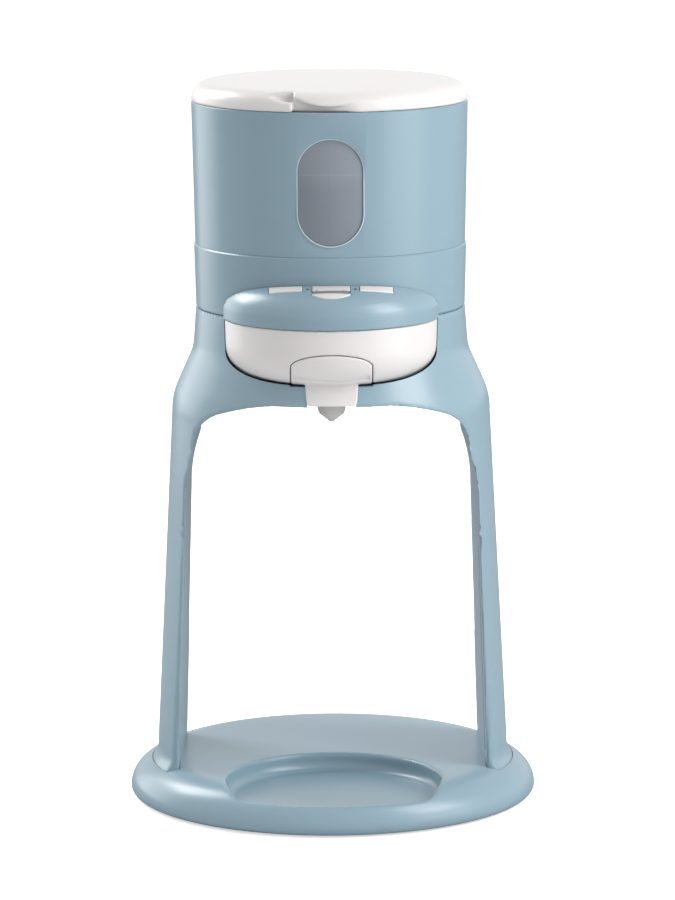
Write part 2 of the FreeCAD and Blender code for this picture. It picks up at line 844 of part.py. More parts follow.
def build_nose():
    """Hood, buttons, switches, lights and the control board."""
    outer = hood_form("hood_outer", 0.0, d.hood_low)
    inner = hood_form("hood_inner", d.wall, d.hood_low - 1.0)
    head_room = cylinder("hood_head_room", d.head_top_radius + d.seat_gap, d.hood_low - 2.0, d.head_top)
    slots = button_plans(d.slide_gap, d.hood_low)
    lights = []
    light_holes = []
    for side in (-1.0, 1.0):
        tag = "left" if side < 0 else "right"
        x = side * d.light_side
        y = -d.light_forward
        low = d.hood_side_top + 8.0
        light_holes.append(cylinder(f"light_hole_{tag}", d.light_radius + 0.1, low, d.head_top, x, y))
        rod = cylinder(f"light_rod_{tag}", d.light_radius, low, d.head_top, x, y)
        lights.append(common(f"light_{tag}", rod, hood_form(f"light_trim_{tag}", 0.0, d.hood_low)))
    part(cut("control_hood", outer, inner, head_room, *slots.values(), *light_holes), "control_hood")
    part(group("indicator_lights", lights), "indicator_lights")

    top = d.board_level + d.board_thick
    switch_high = 2.6
    plunger_top = top + switch_high + 0.6
    stem_low = plunger_top + d.button_travel + 0.1
    thin = d.wall + 0.6
    for name, plan in button_plans(0.0, stem_low).items():
        cap = hood_form(name + "_cap", 0.0, d.hood_low, d.button_proud)
        core = hood_form(name + "_core", thin, d.hood_low - 1.0, d.button_proud)
        skin = common(name + "_skin", cut(name + "_leaf", cap, core), plan)
        x, y = switch_places()[name]
        stem = cylinder(name + "_stem", d.stem_radius, stem_low, d.hood_side_top + d.hood_rise, x, y)
        room = common(name + "_stem_in", stem, hood_form(name + "_stem_trim", d.wall / 2, d.hood_low))
        part(fuse(name, skin, room), name)

    reach = d.button_outer + 2.2
    board = block("control_board_blank", -reach, reach, -d.nose_forward - d.board_edge_radius - 0.2,
                  -d.button_back + 3.8, d.board_level, top)
    curve = cylinder("control_board_edge", d.board_edge_radius, d.board_level - 1.0, top + 1.0,
                     0.0, -d.nose_forward)
    part(common("control_board", board, curve), "control_board")
    switches = []
    for name, (x, y) in switch_places().items():
        half = 1.5 if name in ("button_start", "button_warm") else 2.5
        body = block(name + "_switch_body", x - 2.5, x + 2.5, y - half, y + half, top, top + switch_high)
        knob = cylinder(name + "_switch_knob", 1.2, top + switch_high, plunger_top, x, y)
        switches.append(fuse(name + "_switch", body, knob))
    part(group("button_switches", switches), "button_switches")


# Spout
def build_spout():
    """Spout cap that slides out forwards, and its silicone tip."""
    form = bowl_form("cap_form", 0.25, d.bowl_top)
    arch = cap_arch("cap_arch", 0.0, d.bowl_bottom - 0.25, d.cap_back)
    face = common("cap_face", form, arch)
    y = -d.spout_forward
    low = d.boss_bottom
    side = d.boss_radius
    turn = side - d.boss_round
    outline_front = extruded("boss_front", "XZ_Plane", [
        (-turn, low, d.boss_round),
        (turn, low),
        (side, low + d.boss_round, d.boss_round),
        (side, d.bowl_bottom + 1.0),
        (-side, d.bowl_bottom + 1.0),
        (-side, low + d.boss_round),
    ], d.base_radius * 2.0)
    back = cylinder("boss_back", side, low - 1.0, d.bowl_bottom + 2.0, 0.0, y)
    run = block("boss_run", -side, side, -d.base_radius, y, low - 1.0, d.bowl_bottom + 2.0)
    plan = common("boss_plan", outline_front, fuse("boss_whole", back, run))
    boss = common("boss_kept", plan, turned("boss_limit", stand_path(0.0)))
    funnel = cylinder("cap_funnel", d.funnel_radius, d.funnel_floor, d.hood_low, 0.0, y)
    seat = cylinder("cap_seat", d.tip_radius + 0.1, low - 1.0, d.funnel_floor + 0.1, 0.0, y)
    part(cut("spout_cap", fuse("cap_block", face, boss), funnel, seat), "spout_cap")

    bore = d.tip_body_radius - 1.2
    rest = d.funnel_floor + 0.05
    path = [
        (d.tip_bore, d.tip_end),
        (d.tip_end_radius, d.tip_end),
        (d.tip_body_radius, d.tip_cone_top),
        (d.tip_radius, d.tip_shoulder),
        (d.tip_radius, rest),
        (d.tip_flange_radius, rest),
        (d.tip_flange_radius, rest + 1.0),
        (bore, rest + 1.0),
        (bore, d.tip_shoulder),
        (d.tip_bore, d.tip_end + 3.0),
    ]
    part(turned("spout_tip", path, d.spout_forward), "spout_tip")


# Head
def build_head():
    """Head housing, deck, chassis, tank socket and cord gland."""
    outer = cone("head_outer", d.stand_top_radius, d.head_top_radius, d.stand_top, d.head_top)
    bore = cylinder("head_bore", d.head_bore, d.stand_top - 1.0, d.head_top + 1.0)
    shadow = ring("head_shadow", d.head_top_radius + 2.0, d.stand_top_radius - 0.6,
                  d.stand_top - 1.0, d.stand_top + 0.5)
    under = d.deck_top - d.deck_thick
    ledge = ring("head_ledge", d.head_bore + 0.2, d.head_bore - 2.0, under - 1.6, under)
    deck = cylinder("head_deck_disc", d.head_bore - d.running_fit, under, d.deck_top)
    way = block("head_window", -d.window_half, d.window_half, -d.base_radius, -30.0,
                d.stand_top - 1.0, d.window_high)
    hole = cylinder("head_socket_hole", d.socket_radius + 0.1, d.deck_top - 9.0, d.deck_top + 1.0,
                    0.0, d.outlet_back)
    gland_hole = rod_along_y("head_gland_hole", d.gland_radius + d.running_fit, d.head_bore - 8.0,
                             d.head_bore + 12.0, 0.0, d.gland_level)
    wall = cut("head_wall", outer, bore, shadow, way)
    part(cut("head_housing", fuse("head_ledged", wall, ledge), gland_hole), "head_housing")
    part(cut("head_deck", deck, hole), "head_deck")

    low = d.stand_top
    high = low + d.chassis_thick
    disc = cylinder("chassis_disc", d.chassis_radius, low, high)
    nose = cylinder("chassis_nose", d.bowl_radius - d.wall, low, high, 0.0, -d.nose_forward)
    tongue_box = block("chassis_tongue_box", -d.window_half + 0.4, d.window_half - 0.4, -d.base_radius,
                       -20.0, low - 1.0, high + 1.0)
    tongue = common("chassis_tongue", nose, tongue_box)
    pegs = []
    for side in (-1.0, 1.0):
        tag = "left" if side < 0 else "right"
        x = side * (d.button_outer - 4.0)
        pegs.append(cylinder(f"board_peg_{tag}", d.stem_radius + 0.8, high - 0.5, d.board_level,
                             x, -d.button_back + 2.1))
    holes = []
    screws = []
    for number, (x, y) in enumerate(post_places()):
        radius = d.screw_radius + d.running_fit
        holes.append(cylinder(f"chassis_hole_{number}", radius, low - 1.0, high + 1.0, x, y))
        head = cylinder(f"chassis_screw_head_{number}", d.screw_head, high, high + 2.2, x, y)
        shank = cylinder(f"chassis_screw_shank_{number}", d.screw_radius, low - 12.0, high + 0.5, x, y)
        screws.append(fuse(f"chassis_screw_{number}", head, shank))
    ways = []
    for number, (x, y) in enumerate(hose_ports()):
        ways.append(cylinder(f"chassis_port_{number}", d.hose_radius + 0.5, low - 1.0, high + 1.0, x, y))
    solid = fuse("chassis_solid", disc, tongue, *pegs)
    part(cut("head_chassis", solid, *holes, *ways), "head_chassis")
    part(group("chassis_screws", screws), "chassis_screws")

    back = d.outlet_back
    side = d.socket_drain_side
    under = d.socket_floor - 2.0
    cup = cylinder("socket_cup", d.socket_radius, under, d.deck_top, 0.0, back)
    spigot = cylinder("socket_spigot", d.hose_bore, under - 2.0, under + 1.0, side, back)
    mouth = cylinder("socket_mouth", d.socket_bore, d.socket_floor, d.deck_top + 1.0, 0.0, back)
    drain = cylinder("socket_drain", d.hose_bore * 0.6, under - 5.0, d.socket_floor + 1.0, side, back)
    pin = cylinder("socket_pin", d.pin_radius, d.socket_floor - 0.5, d.stem_low - 0.4, 0.0, back)
    hollow = cut("socket_hollow", fuse("socket_block", cup, spigot), mouth, drain)
    part(fuse("tank_socket", hollow, pin), "tank_socket")
    part(ring("socket_seal", d.socket_bore - 0.1, d.seal_inner, d.socket_floor, d.outlet_low - d.slide_gap,
              0.0, back), "socket_seal")

    face = d.head_top_radius + 0.35
    level = d.gland_level
    flange = rod_along_y("gland_flange", d.gland_radius + 2.0, face, face + 2.2, 0.0, level)
    barrel = rod_along_y("gland_barrel", d.gland_radius, face - 7.4, face + 0.6, 0.0, level)
    bore = rod_along_y("gland_bore", d.gland_bore, face - 11.4, face + 4.6, 0.0, level)
    part(cut("cord_gland", fuse("gland_block", flange, barrel), bore), "cord_gland")


def hose_ports():
    """Where hoses pass the chassis: pump inlet, pump outlet, heater inlet, heater outlet and nozzle."""
    return [
        (d.pump_side, d.pump_back - 5.0),
        (d.pump_side - 4.0, d.pump_back + 5.0),
        (d.heater_radius * 0.5, d.heater_back + 6.0),
        (-d.heater_radius * 0.5, d.heater_back - 4.0),
        (0.0, -d.spout_forward),
    ]


# Machinery inside
def hose(name, route):
    """A hose of straight runs joined by arcs along a route of points."""
    points = [VECTOR(*[float(v) for v in point]) for point in route]
    turn = float(d.hose_turn)
    edges = []
    start = points[0]
    for before, corner, after in zip(points, points[1:], points[2:]):
        back = (before - corner).normalize()
        ahead = (after - corner).normalize()
        reach = turn * math.tan((math.pi - back.getAngle(ahead)) / 2)
        enter = corner + back * reach
        leave = corner + ahead * reach
        middle = corner + (back + ahead).normalize() * (math.hypot(reach, turn) - turn)
        edges.append(Part.LineSegment(start, enter).toShape())
        edges.append(Part.Arc(enter, middle, leave).toShape())
        start = leave
    edges.append(Part.LineSegment(start, points[-1]).toShape())
    path = Part.Wire(edges)
    first = (points[1] - points[0]).normalize()
    solids = []
    for radius in (float(d.hose_radius), float(d.hose_bore + d.running_fit)):
        section = Part.Wire([Part.Circle(points[0], first, radius).toShape()])
        solids.append(path.makePipeShell([section], True, False))
    tube = DOC.addObject("Part::Feature", name)
    tube.Shape = solids[0].cut(solids[1])
    section_area = math.pi * (float(d.hose_radius) ** 2 - float(d.hose_bore + d.running_fit) ** 2)
    print(f"{name}: volume {tube.Shape.Volume:.0f}, section by length {section_area * path.Length:.0f}")
    return tube


def build_machinery():
    """Pump, heater, sensors, boards, hoses and the outlet nozzle."""
    roof = d.stand_top
    x = d.pump_side
    y = d.pump_back
    pump_top = roof - d.damper_thick
    split = pump_top - d.pump_high * 0.42
    case = cylinder("pump_case", d.pump_radius, split, pump_top, x, y)
    motor = cylinder("pump_motor", d.pump_radius - 2.0, pump_top - d.pump_high, split + 0.5, x, y)
    part(fuse("pump", case, motor), "pump")
    part(ring("pump_damper", d.pump_radius, d.pump_radius - 2.4, pump_top, roof, x, y), "pump_damper")

    y = d.heater_back
    low = roof - d.heater_high
    cup = cylinder("heater_cup", d.heater_radius, low, roof, 0.0, y)
    band = cylinder("heater_band", d.heater_radius + 1.5, low + 8.0, low + 16.0, 0.0, y)
    part(fuse("heater", cup, band), "heater")
    part(cylinder("thermostat", d.heater_radius / 3, low - 4.0, low, -d.heater_radius * 0.4, y), "thermostat")
    part(cylinder("temperature_sensor", d.screw_radius + 0.4, low - 5.0, low, d.heater_radius * 0.5, y),
         "temperature_sensor")

    face = d.heater_back - 12.4
    left = -d.power_board_side
    board = block("power_board", left, left + 26.0, face - d.board_thick, face, roof - 28.4, roof)
    part(board, "power_board")
    relay = block("power_relay", left + 3.0, left + 13.0, face, face + 7.0, roof - 22.0, roof - 10.0)
    filter_box = block("power_filter", left + 16.0, left + 24.0, face, face + 5.0, roof - 24.0, roof - 8.0)
    part(group("power_components", [relay, filter_box]), "power_components")

    ports = hose_ports()
    high = d.hose_level
    mid = d.hose_low_level
    on_pump = pump_top + 0.1
    on_heater = roof + 0.1
    socket_under = d.socket_floor - 2.2
    drain = (d.socket_drain_side, d.outlet_back)
    part(hose("inlet_hose", [(*drain, socket_under), (*drain, mid), (*ports[0], mid), (*ports[0], on_pump)]),
         "inlet_hose")
    part(hose("pump_hose", [(*ports[1], on_pump), (*ports[1], high), (*ports[2], high), (*ports[2], on_heater)]),
         "pump_hose")
    flange_top = roof + d.chassis_thick + 1.2
    part(hose("outlet_hose", [(*ports[3], on_heater), (*ports[3], high), (-24.0, 8.0, high),
                              (-20.0, -40.0, high), (*ports[4], high), (*ports[4], flange_top)]), "outlet_hose")

    y = -d.spout_forward
    tube = cylinder("nozzle_tube", d.hose_radius, d.nozzle_low, flange_top, 0.0, y)
    flange = cylinder("nozzle_flange", d.hose_radius + 2.0, flange_top - 1.2, flange_top, 0.0, y)
    bore = cylinder("nozzle_bore", d.hose_bore, d.nozzle_low - 1.0, flange_top + 1.0, 0.0, y)
    part(cut("outlet_nozzle", fuse("nozzle_block", tube, flange), bore), "outlet_nozzle")


# Tank
def stadium(name, grow, front, back):
    """The stadium prism of the window, grown by a gap."""
    half = d.pane_half + grow
    low = d.pane_low + d.pane_half
    high = d.pane_high - d.pane_half
    ends = [rod_along_y(f"{name}_end_{tag}", half, front, back, 0.0, level) for tag, level in
            (("low", low), ("high", high))]
    middle = block(name + "_middle", -half, half, front, back, low, high)
    return fuse(name, middle, *ends)


def build_tank():
    """Outer sleeve, clear vessel and window pane."""
    outer = cone("sleeve_outer", d.head_top_radius, d.rim_radius, d.tank_low, d.rim_level)
    bore = cylinder("sleeve_bore", d.sleeve_bore, d.tank_low - 1.0, d.rim_level + 1.0)
    rebate = cylinder("sleeve_rebate", d.flange_reach + d.slide_gap, d.flange_level, d.rim_level + 1.0)
    opening = stadium("window_opening", 0.0, -d.base_radius, -d.pane_half * 2)
    part(cut("tank_sleeve", outer, bore, rebate, opening), "tank_sleeve")

    middle = (d.pane_low + d.pane_high) / 2
    annulus = ring("pane_annulus", d.pane_outer, d.pane_inner, middle - 40.0, middle + 40.0)
    shape = stadium("pane_shape", -0.15, -d.base_radius, -d.pane_half * 2)
    part(common("window_pane", annulus, shape), "window_pane")

    inner = d.vessel_radius - d.vessel_wall
    low = d.vessel_floor_under
    top = d.flange_level + d.flange_thick
    cup = turned("vessel_cup", [
        (0, low),
        (d.vessel_radius - 3.0, low),
        (d.vessel_radius, low + 3.0, 3.0),
        (d.vessel_radius, d.flange_level),
        (d.flange_reach, d.flange_level),
        (d.flange_reach, top),
        (inner, top),
        (inner, d.vessel_floor + 1.2),
        (inner - 1.2, d.vessel_floor, -1.2),
        (0, d.vessel_floor),
    ])
    back = d.outlet_back
    boss = cylinder("vessel_boss", d.outlet_radius, d.outlet_low, d.vessel_floor, 0.0, back)
    chamber = cylinder("vessel_chamber", d.cage_radius - 1.4, d.seat_level, d.vessel_floor + 1.0, 0.0, back)
    throat = cylinder("vessel_throat", d.seat_bore, d.outlet_low - 1.0, d.seat_level + 1.0, 0.0, back)
    part(cut("tank_vessel", fuse("vessel_block", cup, boss), chamber, throat), "tank_vessel")


def build_valve():
    """Valve in the tank floor: cage, gasket, poppet and spring."""
    back = d.outlet_back
    chamber = d.cage_radius - 1.4
    gasket_top = d.seat_level + d.gasket_thick
    part(ring("valve_gasket", chamber - 0.1, d.seat_bore, d.seat_level, gasket_top, 0.0, back), "valve_gasket")
    poppet_top = gasket_top + d.poppet_thick
    head = cylinder("poppet_head", d.poppet_radius, gasket_top, poppet_top, 0.0, back)
    low_stem = cylinder("poppet_low_stem", d.valve_stem_radius, d.stem_low, gasket_top + 0.5, 0.0, back)
    high_stem = cylinder("poppet_high_stem", d.valve_stem_radius, poppet_top - 0.5, d.cage_top + 1.0, 0.0, back)
    part(fuse("valve_poppet", head, low_stem, high_stem), "valve_poppet")

    plate = d.cage_top - 1.5
    shell = cylinder("cage_shell", d.cage_radius, d.vessel_floor, d.cage_top, 0.0, back)
    room = cylinder("cage_room", chamber, d.vessel_floor - 1.0, plate, 0.0, back)
    guide = cylinder("cage_guide", d.valve_stem_radius + 0.4, plate - 1.0, d.cage_top + 1.0, 0.0, back)
    slot_low = d.vessel_floor + 1.2
    across = block("cage_slot_across", -d.cage_radius - 1.0, d.cage_radius + 1.0, back - 2.2, back + 2.2,
                   slot_low, plate - 1.0)
    along = block("cage_slot_along", -2.2, 2.2, back - d.cage_radius - 1.0, back + d.cage_radius + 1.0,
                  slot_low, plate - 1.0)
    part(cut("valve_cage", shell, room, guide, across, along), "valve_cage")

    low = poppet_top + d.spring_wire + 0.05
    high = plate - d.spring_wire - 0.05
    helix = DOC.addObject("Part::Helix", "spring_helix")
    bind(helix, Radius=d.spring_radius, Height=high - low, Pitch=(high - low) / d.spring_turns)
    place(helix, 0.0, back, low)
    section = DOC.addObject("Part::Circle", "spring_section")
    bind(section, Radius=d.spring_wire)
    section.Placement = FreeCAD.Placement(VECTOR(), FreeCAD.Rotation(VECTOR(1, 0, 0), 90))
    place(section, d.spring_radius, back, low)
    coil = DOC.addObject("Part::Sweep", "spring_coil")
    coil.Sections = [section]
    coil.Spine = (helix, [])
    coil.Solid = True
    coil.Frenet = True
    part(coil, "valve_spring")


# Lid
def build_lid():
    """Lid with its plug, seal and finger grip."""
    corner = shoulder(d.rim_radius, d.lid_edge_level, d.lid_edge, d.lid_top_edge - d.lid_edge_level, d.lid_tight)
    under = d.lid_under
    plug_low = under - d.plug_depth
    body = turned("lid_form", [
        (0, d.lid_crown - d.lid_plate),
        (d.lid_land, d.lid_top_edge - d.lid_plate),
        (d.lid_land, under),
        (d.plug_radius - d.plug_wall, under),
        (d.plug_radius - d.plug_wall, plug_low),
        (d.plug_radius, plug_low),
        (d.plug_radius, under),
        (d.rim_radius, under),
    ] + corner + [(0, d.lid_crown)])
    scoop_low = d.lid_top_edge - d.grip_depth
    above = d.lid_crown + 5.0
    scoop = extruded("grip_scoop", "XZ_Plane", [
        (-d.grip_step, scoop_low),
        (-d.grip_step, above),
        (-d.grip_reach, above),
        (-d.grip_reach, d.lid_top_edge + 0.5),
        (-d.grip_step - 3.0, scoop_low, 22.0),
    ], d.base_radius * 4.0)
    scoop_zone = block("grip_zone", -d.rim_radius, 0.0, -d.base_radius, -d.grip_back, under, above)
    lip = extruded("grip_under", "XZ_Plane", [
        (-d.grip_step, under - 1.0),
        (18.0, under - 1.0),
        (15.0, under + 6.2),
        (-d.grip_step, under + 7.4, -39.0),
    ], d.base_radius * 4.0)
    lip_zone = extruded("grip_lip_zone", "XY_Plane", [
        (-d.grip_step - 0.1, -d.grip_back - 2.0),
        (-d.grip_step - 0.1, -d.base_radius),
        (19.0, -d.base_radius),
        (19.0, -d.rim_radius + 0.4),
    ], d.lid_crown * 3.0)
    seal_low = plug_low + 1.4
    groove = ring("seal_groove_cut", d.plug_radius + 1.0, d.plug_radius - d.seal_groove, seal_low,
                  seal_low + d.seal_high + 0.1)
    part(cut("lid", body, common("grip_scoop_kept", scoop, scoop_zone), common("grip_lip_kept", lip, lip_zone),
             groove), "lid")
    part(ring("lid_seal", d.seal_radius, d.plug_radius - d.seal_groove + 0.05, seal_low + 0.05,
              seal_low + d.seal_high), "lid_seal")


def build():
    """Build every sub-part."""
    build_base()
    build_stand()
    build_bowl()
    build_nose()
    build_spout()
    build_head()
    build_machinery()
    build_tank()
    build_valve()
    build_lid()


def check_and_write():
    """Check every object and write each finished sub-part."""
    DOC.recompute()
    for thing in DOC.Objects:
        for word in thing.State:
            if word in ("Invalid", "Error"):
                raise RuntimeError(f"{thing.Name} is {word}")
    for thing in FINISHED:
        if thing.Shape.isNull() or not thing.Shape.isValid():
            raise RuntimeError(f"{thing.Label} has no valid shape")
    os.makedirs("parts", exist_ok=True)
    for thing in FINISHED:
        thing.Shape.exportStep(f"parts/{thing.Label}.step")
        box = thing.Shape.BoundBox
        print(f"{thing.Label}: {len(thing.Shape.Solids)} solid, {thing.Shape.Volume / 1000:.2f} ml, "
              f"z {box.ZMin:.1f} to {box.ZMax:.1f}")


build()
check_and_write()
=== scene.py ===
import json
import logging
import math
from dataclasses import dataclass, field
from enum import Enum
from typing import Callable, Sequence

import bpy
import numpy as np
from mathutils import Matrix, Vector


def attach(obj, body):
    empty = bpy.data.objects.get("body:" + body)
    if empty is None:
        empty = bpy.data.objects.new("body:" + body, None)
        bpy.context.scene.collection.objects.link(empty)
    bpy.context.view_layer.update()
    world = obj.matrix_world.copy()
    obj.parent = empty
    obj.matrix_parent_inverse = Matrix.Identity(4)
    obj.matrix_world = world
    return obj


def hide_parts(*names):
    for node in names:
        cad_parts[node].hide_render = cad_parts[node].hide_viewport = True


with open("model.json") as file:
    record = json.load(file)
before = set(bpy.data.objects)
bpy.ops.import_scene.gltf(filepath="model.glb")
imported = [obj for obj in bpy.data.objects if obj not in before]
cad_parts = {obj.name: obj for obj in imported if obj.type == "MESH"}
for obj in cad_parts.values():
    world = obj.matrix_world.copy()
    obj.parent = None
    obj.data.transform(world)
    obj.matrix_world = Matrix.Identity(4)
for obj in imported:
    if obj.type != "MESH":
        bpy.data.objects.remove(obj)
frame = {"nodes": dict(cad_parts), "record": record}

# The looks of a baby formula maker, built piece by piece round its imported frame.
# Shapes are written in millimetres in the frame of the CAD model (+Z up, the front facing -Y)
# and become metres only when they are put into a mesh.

LOG = logging.getLogger("formula_maker")
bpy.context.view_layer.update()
MM = 0.001
FULL_TURN = 2.0 * math.pi

# How far tools reach in front of the object and above the hood, and closed profiles past their axis.
AHEAD = -110.0
ABOVE = 300.0
PAST_AXIS = -5.0

Object = bpy.types.Object
Path = Sequence[Sequence[float]]
Form = Callable[[np.ndarray, np.ndarray, np.ndarray], np.ndarray]


class Plane(Enum):
    """The plane that an outline is drawn in, as the axes of its two numbers and the way it is extruded."""

    FRONT = (0, 2, 1)
    SIDE = (1, 2, 0)
    TOP = (0, 1, 2)


class Cut(Enum):
    """What a tool does to a piece."""

    LESS = "DIFFERENCE"
    BOTH = "INTERSECT"
    WITH = "UNION"


# Outlines and forms


def trace(path: Path, step: float = 5.0) -> list[tuple[float, float]]:
    """Turn a closed outline with arcs into plain points.

    Args:
        path: points (u, v), or (u, v, radius) where an arc arrives; a positive radius turns left.
        step: the angle between two points of an arc, in degrees.

    Returns:
        The points of the outline, in order.
    """
    points = []
    for index, corner in enumerate(path):
        end = Vector(corner[:2])
        if len(corner) > 2:
            start = Vector(path[index - 1][:2])
            radius = abs(corner[2])
            side = 1.0 if corner[2] > 0 else -1.0
            chord = end - start
            rise = math.sqrt(max(radius * radius - chord.length_squared / 4.0, 0.0))
            centre = (start + end) / 2.0 + Vector((-chord.y, chord.x)).normalized() * rise * side
            first = math.atan2(start.y - centre.y, start.x - centre.x)
            sweep = 2.0 * math.asin(min(chord.length / (2.0 * radius), 1.0)) * side
            count = max(2, math.ceil(abs(math.degrees(sweep)) / step))
            for part in range(1, count):
                turn = first + sweep * part / count
                points.append((centre.x + radius * math.cos(turn), centre.y + radius * math.sin(turn)))
        points.append((end.x, end.y))
    return points


def oval(radius: float, low: float, across: float, rise: float, count: int = 16) -> list[tuple[float, float]]:
    """Give the points of an oval shoulder from a side inwards and up.

    Args:
        radius: how far out the side stands.
        low: the level where the shoulder starts.
        across: how far the shoulder comes in.
        rise: how far it goes up.
        count: the number of steps.

    Returns:
        The points from (radius, low) to (radius - across, low + rise).
    """
    turns = [math.pi / 2.0 * step / count for step in range(count + 1)]
    return [(radius - across + across * math.cos(turn), low + rise * math.sin(turn)) for turn in turns]


def column(radius: float, low: float, high: float) -> list[tuple[float, float]]:
    """Profile of a round column as (radius, level)."""
    return [(0.0, low), (radius, low), (radius, high), (0.0, high)]


def flat_distance(u: np.ndarray, v: np.ndarray, points: Path) -> np.ndarray:
    """Measure how far places are outside a closed outline.

    Args:
        u: first numbers of the places.
        v: second numbers of the places.
        points: the outline.

    Returns:
        The distance to the outline, below zero inside it.
    """
    nearest = np.full(u.shape, np.inf)
    inside = np.zeros(u.shape, dtype=bool)
    for (u0, v0), (u1, v1) in zip(points, list(points[1:]) + [points[0]]):
        run, rise = u1 - u0, v1 - v0
        along = np.clip(((u - u0) * run + (v - v0) * rise) / (run * run + rise * rise), 0.0, 1.0)
        nearest = np.minimum(nearest, (u - u0 - along * run) ** 2 + (v - v0 - along * rise) ** 2)
        if rise:
            inside ^= ((v >= v0) != (v >= v1)) & (u < run * (v - v0) / rise + u0)
    return np.where(inside, -1.0, 1.0) * np.sqrt(nearest)


def turned_distance(out: np.ndarray, z: np.ndarray, profile: Path) -> np.ndarray:
    """Measure how far places are outside a turned body whose profile starts and ends on its axis."""
    points = [(PAST_AXIS, profile[0][1]), *profile[1:-1], (PAST_AXIS, profile[-1][1])]
    return flat_distance(out, z, points)


def both(first: np.ndarray, second: np.ndarray, radius: float) -> np.ndarray:
    """Keep what two forms share, with the edge between them rounded to a radius."""
    corner = np.hypot(np.maximum(first + radius, 0.0), np.maximum(second + radius, 0.0))
    return np.minimum(-radius, np.maximum(first, second)) + corner


def less(form: np.ndarray, tool: np.ndarray, radius: float) -> np.ndarray:
    """Take a tool away from a form, with the edge rounded to a radius."""
    return both(form, -tool, radius)


def joined(first: np.ndarray, second: np.ndarray, radius: float) -> np.ndarray:
    """Join two forms, with the corner between them filled to a radius."""
    return -both(-first, -second, radius)


def box_form(u: np.ndarray, low: float, high: float) -> np.ndarray:
    """Measure how far places are outside the slab between two levels."""
    return np.maximum(low - u, u - high)


# Modelling


def deselect() -> None:
    """Leave edit mode and select nothing."""
    if bpy.context.object and bpy.context.object.mode != "OBJECT":
        bpy.ops.object.mode_set(mode="OBJECT")
    bpy.ops.object.select_all(action="DESELECT")


def pick(piece: Object) -> None:
    """Make one object the only selected and the active one.

    Args:
        piece: the object.
    """
    deselect()
    piece.select_set(True)
    bpy.context.view_layer.objects.active = piece


def drawn(name: str, points: Sequence[Vector], closed: bool) -> Object:
    """Draw a line of edges by extruding one vertex from point to point.

    Args:
        name: the name of the new object.
        points: the points in millimetres.
        closed: whether the last point is joined to the first one.

    Returns:
        The new object, still in edit mode with everything selected.
    """
    deselect()
    bpy.ops.mesh.primitive_plane_add(size=MM)
    piece = bpy.context.object
    piece.name = piece.data.name = name
    bpy.ops.object.mode_set(mode="EDIT")
    bpy.ops.mesh.select_all(action="SELECT")
    bpy.ops.mesh.merge(type="CENTER")
    bpy.ops.transform.translate(value=points[0] * MM)
    route = list(points) + ([points[0]] if closed else [])
    for before, after in zip(route, route[1:]):
        bpy.ops.mesh.extrude_region_move(TRANSFORM_OT_translate={"value": (after - before) * MM})
    bpy.ops.mesh.select_all(action="SELECT")
    bpy.ops.mesh.remove_doubles(threshold=0.001 * MM)
    bpy.ops.mesh.select_all(action="SELECT")
    return piece


def spun(name: str, points: Path, forward: float = 0.0, closed: bool = False, steps: int = 192) -> Object:
    """Turn a profile about an upright axis.

    Args:
        name: the name of the new object.
        points: the profile as (radius, level).
        forward: how far the axis stands in front of the middle.
        closed: whether the profile is a loop away from the axis.
        steps: the number of steps in the full turn.

    Returns:
        The new object, with its normals facing outwards.
    """
    line = [Vector((u, -forward, v)) for u, v in points]
    piece = drawn(name, line, closed)
    bpy.ops.mesh.spin(steps=steps, angle=FULL_TURN, center=(0.0, -forward * MM, 0.0), axis=(0.0, 0.0, 1.0))
    bpy.ops.mesh.select_all(action="SELECT")
    bpy.ops.mesh.remove_doubles(threshold=0.002 * MM)
    bpy.ops.mesh.normals_make_consistent(inside=False)
    bpy.ops.object.mode_set(mode="OBJECT")
    return piece


def prism(name: str, plane: Plane, points: Path, low: float, high: float) -> Object:
    """Extrude an outline.

    Args:
        name: the name of the new object.
        plane: the plane of the outline.
        points: the outline.
        low: where the extrusion starts.
        high: where it ends.

    Returns:
        The new object, with its normals facing outwards.
    """
    first, second, way = plane.value
    line = []
    for u, v in points:
        point = Vector((low, low, low))
        point[first], point[second] = u, v
        line.append(point)
    piece = drawn(name, line, True)
    bpy.ops.mesh.edge_face_add()
    push = Vector((0.0, 0.0, 0.0))
    push[way] = (high - low) * MM
    bpy.ops.mesh.extrude_region_move(TRANSFORM_OT_translate={"value": push})
    bpy.ops.mesh.select_all(action="SELECT")
    bpy.ops.mesh.normals_make_consistent(inside=False)
    bpy.ops.object.mode_set(mode="OBJECT")
    return piece


def slab(name: str, low: Sequence[float], high: Sequence[float]) -> Object:
    """Extrude a rectangle into a block between two corners."""
    outline = [(low[0], low[1]), (high[0], low[1]), (high[0], high[1]), (low[0], high[1])]
    return prism(name, Plane.TOP, outline, low[2], high[2])


def apply_modifier(piece: Object, kind: str, **settings: object) -> None:
    """Add a modifier with these settings and apply it.

    Args:
        piece: the object.
        kind: the type of the modifier.
        settings: the modifier's settings by name.
    """
    pick(piece)
    modifier = piece.modifiers.new("step", kind)
    for name, value in settings.items():
        setattr(modifier, name, value)
    bpy.ops.object.modifier_apply(modifier=modifier.name)


def carve(piece: Object, how: Cut, *tools: Object) -> None:
    """Use tools on a piece one after the other and throw them away.

    Args:
        piece: the piece.
        how: what the tools do to it.
        tools: the tools, which are used up.
    """
    for tool in tools:
        apply_modifier(piece, "BOOLEAN", object=tool, operation=how.value, solver="EXACT")
        bpy.data.meshes.remove(tool.data)


